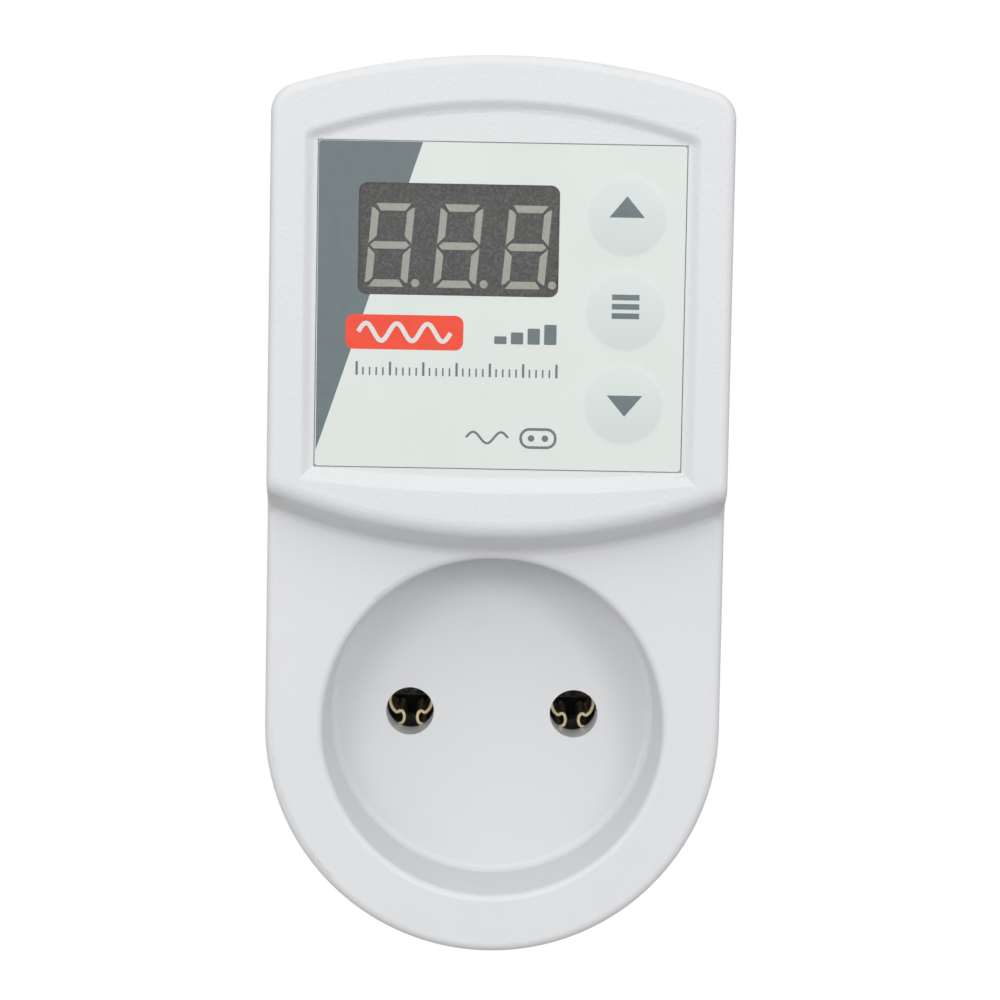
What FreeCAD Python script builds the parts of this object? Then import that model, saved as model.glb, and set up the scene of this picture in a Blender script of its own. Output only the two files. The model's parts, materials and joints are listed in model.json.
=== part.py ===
"""Plug-in voltage relay with a digital voltmeter and a pass-through two-pin socket.

Frame, in millimetres: the origin is the centre of the plug's face, midway between the two pins.
+X is to the right when looking at the display, +Z is up, and the pins point along +Y into the wall.
Most sizes along Y are given as a depth, measured from the plug's face towards the display, so a
depth of 57 lies at Y = -57. The socket, the plug's round boss and the casing's round foot share
one axis, the Y axis.
"""
import FreeCAD, Part
import math
import os
import re
import Sketcher

# ---------------------------------------------------------------------------------------------
# Driving dimensions: alias, value in millimetres or degrees, meaning
# ---------------------------------------------------------------------------------------------
DIMENSIONS = [
    ("pin_pitch", 19, "distance between the two plug pins, and between the two socket holes"),
    ("pin_radius", 2.4, "plug pin"),
    ("pin_length", 19, "plug pin, from the plug's face to its tip"),
    ("pin_shoulder", 2.8, "radius of a pin's shoulder, which fills its hole in the boss"),
    ("boss_radius", 18, "round boss that enters the wall socket"),
    ("boss_notch_width", 6.6, "notch in the boss for the wall socket's earth clip"),
    ("boss_notch_height", 3.2, "how far each notch cuts into the boss"),
    ("boss_wall", 2, "side wall of the boss"),
    ("face_wall", 2.5, "end wall of the boss, which holds the pins"),
    ("back_depth", 17, "back plane of the casing, where the boss begins"),
    ("parting_depth", 31, "parting plane between the two casing halves"),
    ("front_depth", 49, "front of the casing's foot, around the socket"),
    ("hood_depth", 57, "front of the hood that carries the display"),
    ("panel_depth", 56.2, "inset panel inside the hood's raised border"),
    ("label_depth", 56, "shallow seat that the overlay is glued into"),
    ("hood_inner_depth", 54.4, "inner side of the hood's front wall"),
    ("wall", 2, "casing wall"),
    ("draft", 2, "draft of the casing's sides, degrees"),
    ("half_width", 26.23, "half the casing's width at the parting plane, and its foot's radius"),
    ("crown", 75.9, "height of the casing's top at the parting plane"),
    ("crown_radius", 79, "curve of the casing's top at the parting plane"),
    ("corner_radius", 4.1, "upper corners at the parting plane"),
    ("hood_chin", 22.5, "lowest point of the hood's front edge"),
    ("hood_chin_radius", 70, "curve of the hood's chin at its front"),
    ("chin_slope", 16, "slope of the chin down to the foot, degrees"),
    ("edge_round", 1.0, "rounding of the front edges of the hood and the foot"),
    ("chin_round", 2.0, "rounding along the hood's chin"),
    ("back_round", 1.4, "rounding of the back's outer edge"),
    ("border_half_width", 21.6, "half the width of the border's opening"),
    ("border_top", 70.1, "top of the border's opening on the centre line"),
    ("border_top_radius", 64, "curve of the opening's top"),
    ("border_bottom", 27.5, "bottom of the border's opening on the centre line"),
    ("border_bottom_radius", 200, "curve of the opening's bottom"),
    ("border_corner", 1.2, "corner of the border's opening"),
    ("border_round", 0.9, "rounding of the border's upper and lower edge"),
    ("border_slope", 52, "slope of the opening's edge, degrees from the depth axis"),
    ("film_half_width", 20.1, "half the overlay's width"),
    ("film_low", 29.9, "lower edge of the overlay"),
    ("film_high", 65.5, "upper edge of the overlay"),
    ("film_thick", 0.25, "overlay film"),
    ("film_gap", 0.12, "gap between the overlay and the edge of its seat"),
    ("film_corner", 0.4, "corner of the overlay"),
    ("window_left", -15.65, "left edge of the clear window"),
    ("window_right", 6.3, "right edge of the clear window"),
    ("window_low", 48.8, "lower edge of the clear window"),
    ("window_high", 61, "upper edge of the clear window"),
    ("window_corner", 1, "corner of the clear window"),
    ("module_x", -4.72, "middle of the display module"),
    ("module_z", 54.2, "middle of the display module"),
    ("module_width", 22.5, "three-digit 0.36 inch display module"),
    ("module_height", 14, "display module"),
    ("module_face_depth", 55.75, "face of the display module"),
    ("digit_pitch", 7.5, "distance between two digits"),
    ("digit_width", 3.88, "distance between a digit's upright strokes"),
    ("digit_height", 8.32, "distance between a digit's top and bottom strokes"),
    ("digit_slant", 4.8, "lean of the digits, degrees"),
    ("stroke", 0.8, "width of one segment"),
    ("segment_thick", 0.3, "depth of the segments' light wells"),
    ("point_radius", 0.48, "decimal point"),
    ("key_x", 13.7, "column of the three keys"),
    ("key_middle", 47.45, "height of the middle key"),
    ("key_pitch", 10.3, "distance between two keys"),
    ("key_radius", 4.37, "embossed dome of a key"),
    ("key_gap", 0.08, "moving gap around a key's dome"),
    ("key_rise", 0.38, "how far a dome stands above the film"),
    ("key_hole", 4.8, "radius of the casing's hole under a key"),
    ("board_thick", 1.6, "both circuit boards"),
    ("display_board_depth", 47, "rear side of the display board"),
    ("switch_side", 6, "tactile switch, square body"),
    ("switch_height", 3.5, "tactile switch body"),
    ("plunger_radius", 1.75, "tactile switch plunger"),
    ("main_board_depth", 22, "solder side of the main board"),
    ("main_board_low", 22.8, "lower edge of the main board"),
    ("main_board_high", 62.2, "upper edge of the main board"),
    ("main_board_half_width", 22, "half the main board's width"),
    ("floor_depth", 37, "floor of the socket's recess"),
    ("floor_radius", 18.7, "radius of the recess at its floor"),
    ("mouth_radius", 19.2, "radius of the recess at its mouth, under the rounding"),
    ("mouth_round", 0.75, "rounding of the recess's rim"),
    ("floor_round", 0.9, "rounding between the recess's floor and wall"),
    ("well_radius", 21.6, "outside of the recess's wall"),
    ("floor_wall", 2, "thickness of the recess's floor"),
    ("hole_radius", 2.78, "socket hole"),
    ("shroud_radius", 4.4, "collar behind each socket hole"),
    ("shroud_depth", 31, "rear end of the collars"),
    ("screw_x", 19.5, "upper casing screws, distance from the centre line"),
    ("screw_z", 66, "upper casing screws"),
    ("screw_low", 14.8, "lower casing screws, distance out and down from the socket's axis"),
    ("post_radius", 3.2, "screw posts of the front casing"),
    ("sleeve_radius", 3.7, "screw sleeves of the rear casing"),
    ("pilot_radius", 1.3, "pilot hole and shank of the casing screws"),
    ("clip_inner", 2.35, "inner radius of a contact clip"),
    ("clip_thick", 0.6, "brass sheet of the clips and strap"),
    ("clip_front_depth", 30.8, "mouth of a contact clip"),
    ("clip_back_depth", 22, "collar plate of a contact clip, front side"),
    ("holder_half_width", 17, "clip holder"),
    ("holder_half_height", 8, "clip holder"),
    ("holder_depth", 19.2, "rear side of the clip holder"),
    ("strap_x", 13.4, "inner side of the brass strap's upright"),
    ("wire_radius", 1, "insulated wires"),
    ("relay_left", -19.5, "relay, left side"),
    ("relay_width", 15.5, "relay"),
    ("relay_low", 38, "relay, lower side"),
    ("relay_length", 19, "relay"),
    ("relay_top_depth", 40.2, "top of the relay's cover"),
    ("relay_cover_wall", 0.8, "wall of the relay's cover"),
    ("armature_angle", 4, "how far the relay's armature stands open, degrees"),
    ("pole_depth", 36.55, "top of the relay's pole and yoke"),
    ("coil_z", 46, "axis of the relay's coil"),
]

# Places across the casing, as (x, z), and single heights, as expressions of the aliases above
SCREW_TIP = "39.5"
DISPLAY_BOARD_SCREWS = [("-19.5", "59.5"), ("-19.5", "31.4"), ("20.2", "52.6"), ("20.2", "31.4")]
HOLDER_SCREWS = [("0", "5"), ("0", "-5")]
RETAINER_SCREWS = [("0", "4.4"), ("0", "-4.4")]
MAIN_BOARD_POSTS = [("-19.6", "59.5"), ("19.6", "36"), ("19.6", "59.5"), ("-19.6", "36")]
KEYS = [("key_up", "key_middle + key_pitch"), ("key_menu", "key_middle"),
        ("key_down", "key_middle - key_pitch")]
HEADER_Z = "31.2"

doc = FreeCAD.newDocument("voltage_relay_plug")
sheet = doc.addObject("Spreadsheet::Sheet", "Sizes")
for row, (alias, number, meaning) in enumerate(DIMENSIONS, start=1):
    sheet.set(f"A{row}", meaning)
    sheet.set(f"B{row}", str(number))
    sheet.setAlias(f"B{row}", alias)
doc.recompute()
ALIASES = {alias for alias, _, _ in DIMENSIONS}
NODES = []


def linked(text):
    """The expression with each alias pointing at the sheet, for use outside the sheet."""
    return re.sub(r"[a-z][a-z_]+",
                  lambda m: "Sizes." + m.group() if m.group() in ALIASES else m.group(), text)


def value(text):
    """The number that an expression of aliases has now."""
    return float(sheet.evalExpression(str(text)))


def bind(thing, prop, text):
    """Tie one property of a document object to an expression of aliases."""
    thing.setExpression(prop, linked(str(text)))


def node(thing, name):
    """Name a document object as one sub-part of the assembly."""
    thing.Label = name
    NODES.append(thing)
    return thing


# ---------------------------------------------------------------------------------------------
# Sketches: each lies in a plane parallel to the display, at a given depth
# ---------------------------------------------------------------------------------------------
def new_body(name):
    return node(doc.addObject("PartDesign::Body", name), name)


def origin_feature(body, role):
    return next(item for item in body.Origin.OriginFeatures if item.Role == role)


def new_sketch(body, name, depth):
    sketch = body.newObject("Sketcher::SketchObject", name)
    sketch.AttachmentSupport = (origin_feature(body, "XZ_Plane"), [""])
    sketch.MapMode = "FlatFace"
    bind(sketch, "AttachmentOffset.Base.z", depth)
    return sketch


def hold(sketch, kind, *picked, size):
    """Add one driving constraint whose size is an expression."""
    index = sketch.addConstraint(Sketcher.Constraint(kind, *picked, value(size)))
    label = f"{kind.lower()}_{index}"
    sketch.renameConstraint(index, label)
    bind(sketch, "Constraints." + label, size)


def place_point(sketch, curve, end, x, z):
    hold(sketch, "DistanceX", -1, 1, curve, end, size=x)
    hold(sketch, "DistanceY", -1, 1, curve, end, size=z)


def add_circle(sketch, x, z, radius):
    centre = FreeCAD.Vector(value(x), value(z), 0)
    curve = sketch.addGeometry(Part.Circle(centre, FreeCAD.Vector(0, 0, 1), value(radius)), False)
    hold(sketch, "Radius", curve, size=radius)
    place_point(sketch, curve, 3, x, z)


def arc(centre, radius, start_degrees, end_degrees):
    circle = Part.Circle(FreeCAD.Vector(*centre, 0), FreeCAD.Vector(0, 0, 1), radius)
    return Part.ArcOfCircle(circle, math.radians(start_degrees), math.radians(end_degrees))


def line(start, end):
    return Part.LineSegment(FreeCAD.Vector(*start, 0), FreeCAD.Vector(*end, 0))


def add_polygon(sketch, corners):
    """Closed polygon; each corner is a pair of expressions."""
    points = [(value(x), value(z)) for x, z in corners]
    first = None
    for index, point in enumerate(points):
        curve = sketch.addGeometry(line(point, points[(index + 1) % len(points)]), False)
        first = curve if first is None else first
        place_point(sketch, curve, 1, *corners[index])
    for index in range(len(points)):
        following = first + (index + 1) % len(points)
        sketch.addConstraint(Sketcher.Constraint("Coincident", first + index, 2, following, 1))


def add_foot_outline(sketch, half, crown, crown_radius, corner):
    """Round foot about the origin, upright sides, and an arched top with rounded corners."""
    h, c, big, small = value(half), value(crown), value(crown_radius), value(corner)
    arch_z = c - big
    reach = h - small
    corner_z = arch_z + math.sqrt((big - small) ** 2 - reach ** 2)
    lean = math.degrees(math.acos(reach / (big - small)))
    curves = sketch.addGeometry([
        arc((0, 0), h, 180, 360),
        line((h, 0), (h, corner_z)),
        arc((reach, corner_z), small, 0, lean),
        arc((0, arch_z), big, lean, 180 - lean),
        arc((-reach, corner_z), small, 180 - lean, 180),
        line((-h, corner_z), (-h, 0)),
    ], False)
    foot, right, right_corner, top, left_corner, left = curves
    chain = [(foot, 2, right, 1), (right, 2, right_corner, 1), (right_corner, 2, top, 1),
             (top, 2, left_corner, 1), (left_corner, 2, left, 1), (left, 2, foot, 1)]
    for joint in chain:
        sketch.addConstraint(Sketcher.Constraint("Tangent", *joint))
    sketch.addConstraint(Sketcher.Constraint("Coincident", foot, 3, -1, 1))
    sketch.addConstraint(Sketcher.Constraint("Vertical", right))
    sketch.addConstraint(Sketcher.Constraint("PointOnObject", top, 3, -2))
    sketch.addConstraint(Sketcher.Constraint("Equal", right_corner, left_corner))
    hold(sketch, "Radius", foot, size=half)
    hold(sketch, "Radius", top, size=crown_radius)
    hold(sketch, "Radius", right_corner, size=corner)
    hold(sketch, "DistanceY", -1, 1, top, 3, size=f"({crown}) - ({crown_radius})")


def add_arched_outline(sketch, half, low, low_radius, high, high_radius, corner):
    """Upright sides between an arched top and a bottom that bulges down; round upper corners."""
    h, big, small = value(half), value(high_radius), value(corner)
    arch_z = value(high) - big
    bowl, bowl_z = value(low_radius), value(low) + value(low_radius)
    reach = h - small
    corner_z = arch_z + math.sqrt((big - small) ** 2 - reach ** 2)
    lean = math.degrees(math.acos(reach / (big - small)))
    swing = math.degrees(math.asin(h / bowl))
    base_z = bowl_z - math.sqrt(bowl ** 2 - h ** 2)
    curves = sketch.addGeometry([
        arc((0, bowl_z), bowl, 270 - swing, 270 + swing),
        line((h, base_z), (h, corner_z)),
        arc((reach, corner_z), small, 0, lean),
        arc((0, arch_z), big, lean, 180 - lean),
        arc((-reach, corner_z), small, 180 - lean, 180),
        line((-h, corner_z), (-h, base_z)),
    ], False)
    bottom, right, right_corner, top, left_corner, left = curves
    for joint in [(right, 2, right_corner, 1), (right_corner, 2, top, 1), (top, 2, left_corner, 1),
                  (left_corner, 2, left, 1)]:
        sketch.addConstraint(Sketcher.Constraint("Tangent", *joint))
    for joint in [(bottom, 2, right, 1), (left, 2, bottom, 1)]:
        sketch.addConstraint(Sketcher.Constraint("Coincident", *joint))
    sketch.addConstraint(Sketcher.Constraint("Vertical", right))
    sketch.addConstraint(Sketcher.Constraint("Vertical", left))
    sketch.addConstraint(Sketcher.Constraint("PointOnObject", top, 3, -2))
    sketch.addConstraint(Sketcher.Constraint("PointOnObject", bottom, 3, -2))
    sketch.addConstraint(Sketcher.Constraint("Equal", right_corner, left_corner))
    hold(sketch, "Radius", top, size=high_radius)
    hold(sketch, "Radius", bottom, size=low_radius)
    hold(sketch, "Radius", right_corner, size=corner)
    hold(sketch, "DistanceX", -1, 1, right, 1, size=half)
    hold(sketch, "DistanceY", -1, 1, top, 3, size=f"({high}) - ({high_radius})")
    hold(sketch, "DistanceY", -1, 1, bottom, 3, size=f"({low}) + ({low_radius})")


# ---------------------------------------------------------------------------------------------
# Features of a body. A pad grows towards the display unless to_back is set; a pocket cuts
# towards the back unless to_front is set.
# ---------------------------------------------------------------------------------------------
def pad(body, name, sketch, length, taper="0", to_back=False):
    feature = body.newObject("PartDesign::Pad", name)
    feature.Profile = sketch
    feature.Reversed = to_back
    bind(feature, "Length", length)
    bind(feature, "TaperAngle", taper)
    doc.recompute()
    return feature


def pocket(body, name, sketch, length, taper="0", to_front=False):
    feature = body.newObject("PartDesign::Pocket", name)
    feature.Profile = sketch
    feature.Reversed = to_front
    bind(feature, "Length", length)
    bind(feature, "TaperAngle", taper)
    doc.recompute()
    return feature


def fillet(body, name, radius, wanted):
    """Round every edge of the body's tip for which wanted(edge) is true."""
    base = body.Tip
    names = [f"Edge{i}" for i, edge in enumerate(base.Shape.Edges, start=1) if wanted(edge)]
    feature = body.newObject("PartDesign::Fillet", name)
    feature.Base = (base, names)
    feature.Refine = False
    bind(feature, "Radius", radius)
    doc.recompute()
    return feature


def lies_at(edge, depth):
    """True for an edge that lies wholly in the plane of that depth."""
    box = edge.BoundBox
    return abs(box.YMin + depth) < 1e-3 and abs(box.YMax + depth) < 1e-3


# ---------------------------------------------------------------------------------------------
# Simple solids, with every side given as an expression of aliases
# ---------------------------------------------------------------------------------------------
def box(name, x, depth, z):
    """Block between two values of x, two depths and two values of z."""
    solid = doc.addObject("Part::Box", name)
    for prop, span in (("Length", x), ("Width", depth), ("Height", z)):
        bind(solid, prop, f"({span[1]}) - ({span[0]})")
    bind(solid, "Placement.Base.x", x[0])
    bind(solid, "Placement.Base.y", f"-({depth[1]})")
    bind(solid, "Placement.Base.z", z[0])
    return solid


AXIS_TURNS = {
    "x": FreeCAD.Rotation(FreeCAD.Vector(0, 1, 0), 90),
    "y": FreeCAD.Rotation(FreeCAD.Vector(1, 0, 0), 90),
    "z": FreeCAD.Rotation(),
}


def rod(name, radius, start, length, axis="y"):
    """Cylinder from its start (x, depth, z), running to +X, towards the display or up."""
    solid = doc.addObject("Part::Cylinder", name)
    solid.Placement = FreeCAD.Placement(FreeCAD.Vector(), AXIS_TURNS[axis])
    bind(solid, "Radius", radius)
    bind(solid, "Height", length)
    bind(solid, "Placement.Base.x", start[0])
    bind(solid, "Placement.Base.y", f"-({start[1]})")
    bind(solid, "Placement.Base.z", start[2])
    return solid


def disc(name, radius, x, z, depths):
    """Cylinder along Y between two depths, the smaller one first."""
    return rod(name, radius, (x, depths[0], z), f"({depths[1]}) - ({depths[0]})")


def cut(name, base, *tools):
    """Base less the tools, which may touch each other or lie apart."""
    tool = tools[0] if len(tools) == 1 else group(name + "_tools", *tools)
    result = doc.addObject("Part::Cut", name)
    result.Base = base
    result.Tool = tool
    return result


def fuse(name, *parts):
    result = doc.addObject("Part::MultiFuse", name)
    result.Shapes = list(parts)
    return result


def group(name, *parts):
    """Several separate solids kept as one sub-part."""
    result = doc.addObject("Part::Compound", name)
    result.Links = list(parts)
    return result


def copy_of(name, source):
    """A second use of a solid that is already part of another feature."""
    link = doc.addObject("Part::Compound", name)
    link.Links = [source]
    return link


def rounded(name, base, radius, axis):
    """Round the edges of a block that run along one axis."""
    doc.recompute()
    result = doc.addObject("Part::Fillet", name)
    result.Base = base
    r = value(radius)
    picked = []
    for index, edge in enumerate(base.Shape.Edges, start=1):
        if abs(edge.tangentAt(edge.FirstParameter).dot(axis)) > 0.999:
            picked.append((index, r, r))
    result.Edges = picked
    return result


ALONG_Y = FreeCAD.Vector(0, 1, 0)


# ---------------------------------------------------------------------------------------------
# Front casing
# ---------------------------------------------------------------------------------------------
def drafted(size, depth):
    """A casing size at another depth, drawn in by the draft from the parting plane."""
    return f"({size}) - ({depth} - parting_depth) * tan(draft)"


def casing_sketch(body, name, depth, inset="0", at=None):
    """Outline of the casing at one depth, drawn in by an inset."""
    sketch = new_sketch(body, name, at or depth)
    sizes = [f"({drafted(s, depth)}) - ({inset})" for s in
             ("half_width", "crown", "crown_radius", "corner_radius")]
    add_foot_outline(sketch, *sizes)
    return sketch


def hood_sketch(body, name, depth, chin, inset="0"):
    """Outline of the hood at one depth, with its chin at a given height."""
    sketch = new_sketch(body, name, depth)
    half, crown, crown_radius, corner = [f"({drafted(s, depth)}) - ({inset})" for s in
                                         ("half_width", "crown", "crown_radius", "corner_radius")]
    add_arched_outline(sketch, half, f"({chin}) + ({inset})", f"hood_chin_radius - ({inset})",
                       crown, crown_radius, corner)
    return sketch


def chin_sketch(body):
    """Everything below the hood's chin at its front: an arc that bulges down, closed far outside."""
    sketch = new_sketch(body, "chin_outline", "hood_depth")
    reach, bowl = 30, value("hood_chin_radius")
    bowl_z = value("hood_chin") + bowl
    end_z = bowl_z - math.sqrt(bowl ** 2 - reach ** 2)
    swing = math.degrees(math.asin(reach / bowl))
    chin, left, base, right = sketch.addGeometry([
        arc((0, bowl_z), bowl, 270 - swing, 270 + swing),
        line((-reach, end_z), (-reach, -reach)),
        line((-reach, -reach), (reach, -reach)),
        line((reach, -reach), (reach, end_z)),
    ], False)
    for joint in [(chin, 1, left, 1), (left, 2, base, 1), (base, 2, right, 1), (right, 2, chin, 2)]:
        sketch.addConstraint(Sketcher.Constraint("Coincident", *joint))
    for upright in (left, right):
        sketch.addConstraint(Sketcher.Constraint("Vertical", upright))
    sketch.addConstraint(Sketcher.Constraint("PointOnObject", chin, 3, -2))
    hold(sketch, "Radius", chin, size="hood_chin_radius")
    hold(sketch, "DistanceY", -1, 1, chin, 3, size="hood_chin + hood_chin_radius")
    place_point(sketch, base, 1, str(-reach), str(-reach))
    place_point(sketch, base, 2, str(reach), str(-reach))
    return sketch


def casing_screw_places():
    return [("screw_x", "screw_z"), ("-screw_x", "screw_z"),
            ("screw_low", "-screw_low"), ("-screw_low", "-screw_low")]


def recess_profile(body, name):
    """Half section of the socket's recess, turned about the Y axis; sketch x is X, sketch y is Y."""
    sketch = body.newObject("Sketcher::SketchObject", name)
    sketch.AttachmentSupport = (origin_feature(body, "XY_Plane"), [""])
    sketch.MapMode = "FlatFace"
    floor_y, mouth_y = "-floor_depth", "-front_depth"
    corners = [("0", floor_y), ("floor_radius", floor_y), ("mouth_radius", mouth_y),
               ("mouth_radius", "-front_depth - 3"), ("0", "-front_depth - 3")]
    add_polygon(sketch, corners)
    return sketch


def front_casing():
    body = new_body("front_casing")
    pad(body, "foot_block", casing_sketch(body, "foot_outline", "parting_depth"),
        "front_depth - parting_depth", "-draft")
    pad(body, "hood_block", hood_sketch(body, "hood_root", "front_depth", "hood_chin - 2.6"),
        "hood_depth - front_depth", "-draft")
    pocket(body, "chin_cut", chin_sketch(body), "hood_depth - front_depth", "-chin_slope")
    fillet(body, "chin_edge", "chin_round", is_chin_edge)
    fillet(body, "front_edges", "edge_round", is_front_edge)

    border = new_sketch(body, "border_opening", "hood_depth")
    add_arched_outline(border, "border_half_width", "border_bottom", "border_bottom_radius",
                       "border_top", "border_top_radius", "border_corner")
    pocket(body, "border_pocket", border, "hood_depth - panel_depth", "-border_slope")
    fillet(body, "border_edges", "border_round", is_border_edge)
    seat = new_sketch(body, "label_seat", "hood_depth")
    add_polygon(seat, [(f"{side} * (film_half_width + film_gap)", height) for side, height in
                       (("-1", "film_low - film_gap"), ("1", "film_low - film_gap"),
                        ("1", "film_high + film_gap"), ("-1", "film_high + film_gap"))])
    pocket(body, "label_pocket", seat, "hood_depth - label_depth")

    inner = casing_sketch(body, "foot_hollow", "parting_depth", "wall")
    pocket(body, "foot_cavity", inner, "front_depth - wall - parting_depth", "-draft", to_front=True)
    hood_hollow = hood_sketch(body, "hood_hollow", "front_depth - wall", "hood_chin", "wall")
    pocket(body, "hood_cavity", hood_hollow, "hood_inner_depth - front_depth + wall", "-draft", to_front=True)
    rebate = casing_sketch(body, "rebate_outline", "parting_depth", "wall / 2")
    pocket(body, "rebate", rebate, "2", "0", to_front=True)

    well = new_sketch(body, "well_outline", "floor_depth - floor_wall")
    add_circle(well, "0", "0", "well_radius")
    pad(body, "well", well, "front_depth - floor_depth + floor_wall")
    collars = new_sketch(body, "collar_outline", "shroud_depth")
    for side in ("-1", "1"):
        add_circle(collars, f"{side} * pin_pitch / 2", "0", "shroud_radius")
    pad(body, "collars", collars, "floor_depth - shroud_depth")
    posts = new_sketch(body, "screw_post_outline", "parting_depth")
    for x, z in casing_screw_places():
        add_circle(posts, x, z, "post_radius")
    pad(body, "screw_posts", posts, "front_depth - wall - parting_depth + 0.5")
    upper = new_sketch(body, "upper_post_outline", "front_depth - wall")
    for x, z in casing_screw_places()[:2]:
        add_circle(upper, x, z, "post_radius")
    pad(body, "upper_posts", upper, "hood_inner_depth - front_depth + wall + 0.5")
    board_posts = new_sketch(body, "board_post_outline", "display_board_depth + board_thick")
    for x, z in DISPLAY_BOARD_SCREWS:
        add_circle(board_posts, x, z, "2")
    pad(body, "board_posts", board_posts, "hood_inner_depth - display_board_depth - board_thick + 0.5")
    holder_posts = new_sketch(body, "holder_post_outline", "holder_depth + 2.2")
    for x, z in HOLDER_SCREWS:
        add_circle(holder_posts, x, z, "2.4")
    pad(body, "holder_posts", holder_posts, "floor_depth - holder_depth - 2.7")

    recess = body.newObject("PartDesign::Groove", "socket_recess")
    recess.Profile = recess_profile(body, "recess_section")
    recess.ReferenceAxis = (origin_feature(body, "Y_Axis"), [""])
    recess.Angle = 360
    doc.recompute()
    fillet(body, "recess_floor_edge", "floor_round",
           lambda e: lies_at(e, value("floor_depth")) and is_ring(e, value("floor_radius")))
    fillet(body, "recess_rim", "mouth_round",
           lambda e: lies_at(e, value("front_depth")) and is_ring(e, value("mouth_radius")))
    holes = new_sketch(body, "socket_hole_outline", "floor_depth + 1")
    for side in ("-1", "1"):
        add_circle(holes, f"{side} * pin_pitch / 2", "0", "hole_radius")
    pocket(body, "socket_holes", holes, "floor_depth - shroud_depth + 2")

    window = new_sketch(body, "window_outline", "panel_depth + 1")
    x_half, z_half = "(module_width / 2 + 0.2)", "(module_height / 2 + 0.2)"
    add_polygon(window, [(f"module_x - {x_half}", f"module_z - {z_half}"),
                         (f"module_x + {x_half}", f"module_z - {z_half}"),
                         (f"module_x + {x_half}", f"module_z + {z_half}"),
                         (f"module_x - {x_half}", f"module_z + {z_half}")])
    pocket(body, "display_window", window, "panel_depth - hood_inner_depth + 2")
    keys = new_sketch(body, "key_hole_outline", "panel_depth + 1")
    for _, z in KEYS:
        add_circle(keys, "key_x", z, "key_hole")
    pocket(body, "key_holes", keys, "panel_depth - hood_inner_depth + 2")

    pilots = new_sketch(body, "pilot_outline", "parting_depth")
    for x, z in casing_screw_places():
        add_circle(pilots, x, z, "pilot_radius")
    pocket(body, "screw_pilots", pilots, f"{SCREW_TIP} - parting_depth", to_front=True)
    small_pilots(body, "board", DISPLAY_BOARD_SCREWS, "display_board_depth + board_thick", "4.2", "0.8")
    small_pilots(body, "holder", HOLDER_SCREWS, "holder_depth + 2.2", "9", "1.1")
    return body


def is_ring(edge, radius):
    return isinstance(edge.Curve, Part.Circle) and abs(edge.Curve.Radius - radius) < 1e-3


def is_chin_edge(edge):
    """True for the hood's lower front edge."""
    return lies_at(edge, value("hood_depth")) and edge.BoundBox.ZMax < value("hood_chin") + 8


def is_front_edge(edge):
    """True for the hood's other front edges, and for the foot's front edges up to the hood's chin."""
    chin_top = value("hood_chin") + 8
    return (lies_at(edge, value("hood_depth")) and edge.BoundBox.ZMax > chin_top) \
        or (lies_at(edge, value("front_depth")) and edge.BoundBox.ZMax < chin_top)


def is_border_edge(edge):
    """True for the upper and lower edges of the sloped step inside the border."""
    box, slack = edge.BoundBox, 0.1
    reach = value("border_half_width") + slack
    inside = -reach < box.XMin and box.XMax < reach and box.ZMax < value("border_top") + slack \
        and box.ZMin > value("border_bottom") - slack
    return inside and (lies_at(edge, value("hood_depth")) or lies_at(edge, value("panel_depth")))


def small_pilots(body, name, places, depth, length, radius):
    sketch = new_sketch(body, name + "_pilot_outline", depth)
    for x, z in places:
        add_circle(sketch, x, z, radius)
    pocket(body, name + "_pilots", sketch, length, to_front=True)




# ---------------------------------------------------------------------------------------------
# Rear casing
# ---------------------------------------------------------------------------------------------
def boss_outline(sketch, radius, notch_half, notch_floor):
    """Circle with a square notch at its top and bottom."""
    r, w, f = value(radius), value(notch_half), value(notch_floor)
    edge_z = math.sqrt(r * r - w * w)
    swing = math.degrees(math.asin(w / r))
    curves = sketch.addGeometry([
        arc((0, 0), r, -90 + swing, 90 - swing),
        line((w, edge_z), (w, f)),
        line((w, f), (-w, f)),
        line((-w, f), (-w, edge_z)),
        arc((0, 0), r, 90 + swing, 270 - swing),
        line((-w, -edge_z), (-w, -f)),
        line((-w, -f), (w, -f)),
        line((w, -f), (w, -edge_z)),
    ], False)
    for curve, following in zip(curves, curves[1:] + curves[:1]):
        sketch.addConstraint(Sketcher.Constraint("Coincident", curve, 2, following, 1))
    for round_side in (curves[0], curves[4]):
        sketch.addConstraint(Sketcher.Constraint("Coincident", round_side, 3, -1, 1))
        hold(sketch, "Radius", round_side, size=radius)
    place_point(sketch, curves[1], 2, notch_half, notch_floor)
    place_point(sketch, curves[2], 2, f"-({notch_half})", notch_floor)
    place_point(sketch, curves[5], 2, f"-({notch_half})", f"-({notch_floor})")
    place_point(sketch, curves[6], 2, notch_half, f"-({notch_floor})")
    for upright in (curves[1], curves[3], curves[5], curves[7]):
        sketch.addConstraint(Sketcher.Constraint("Vertical", upright))


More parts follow.
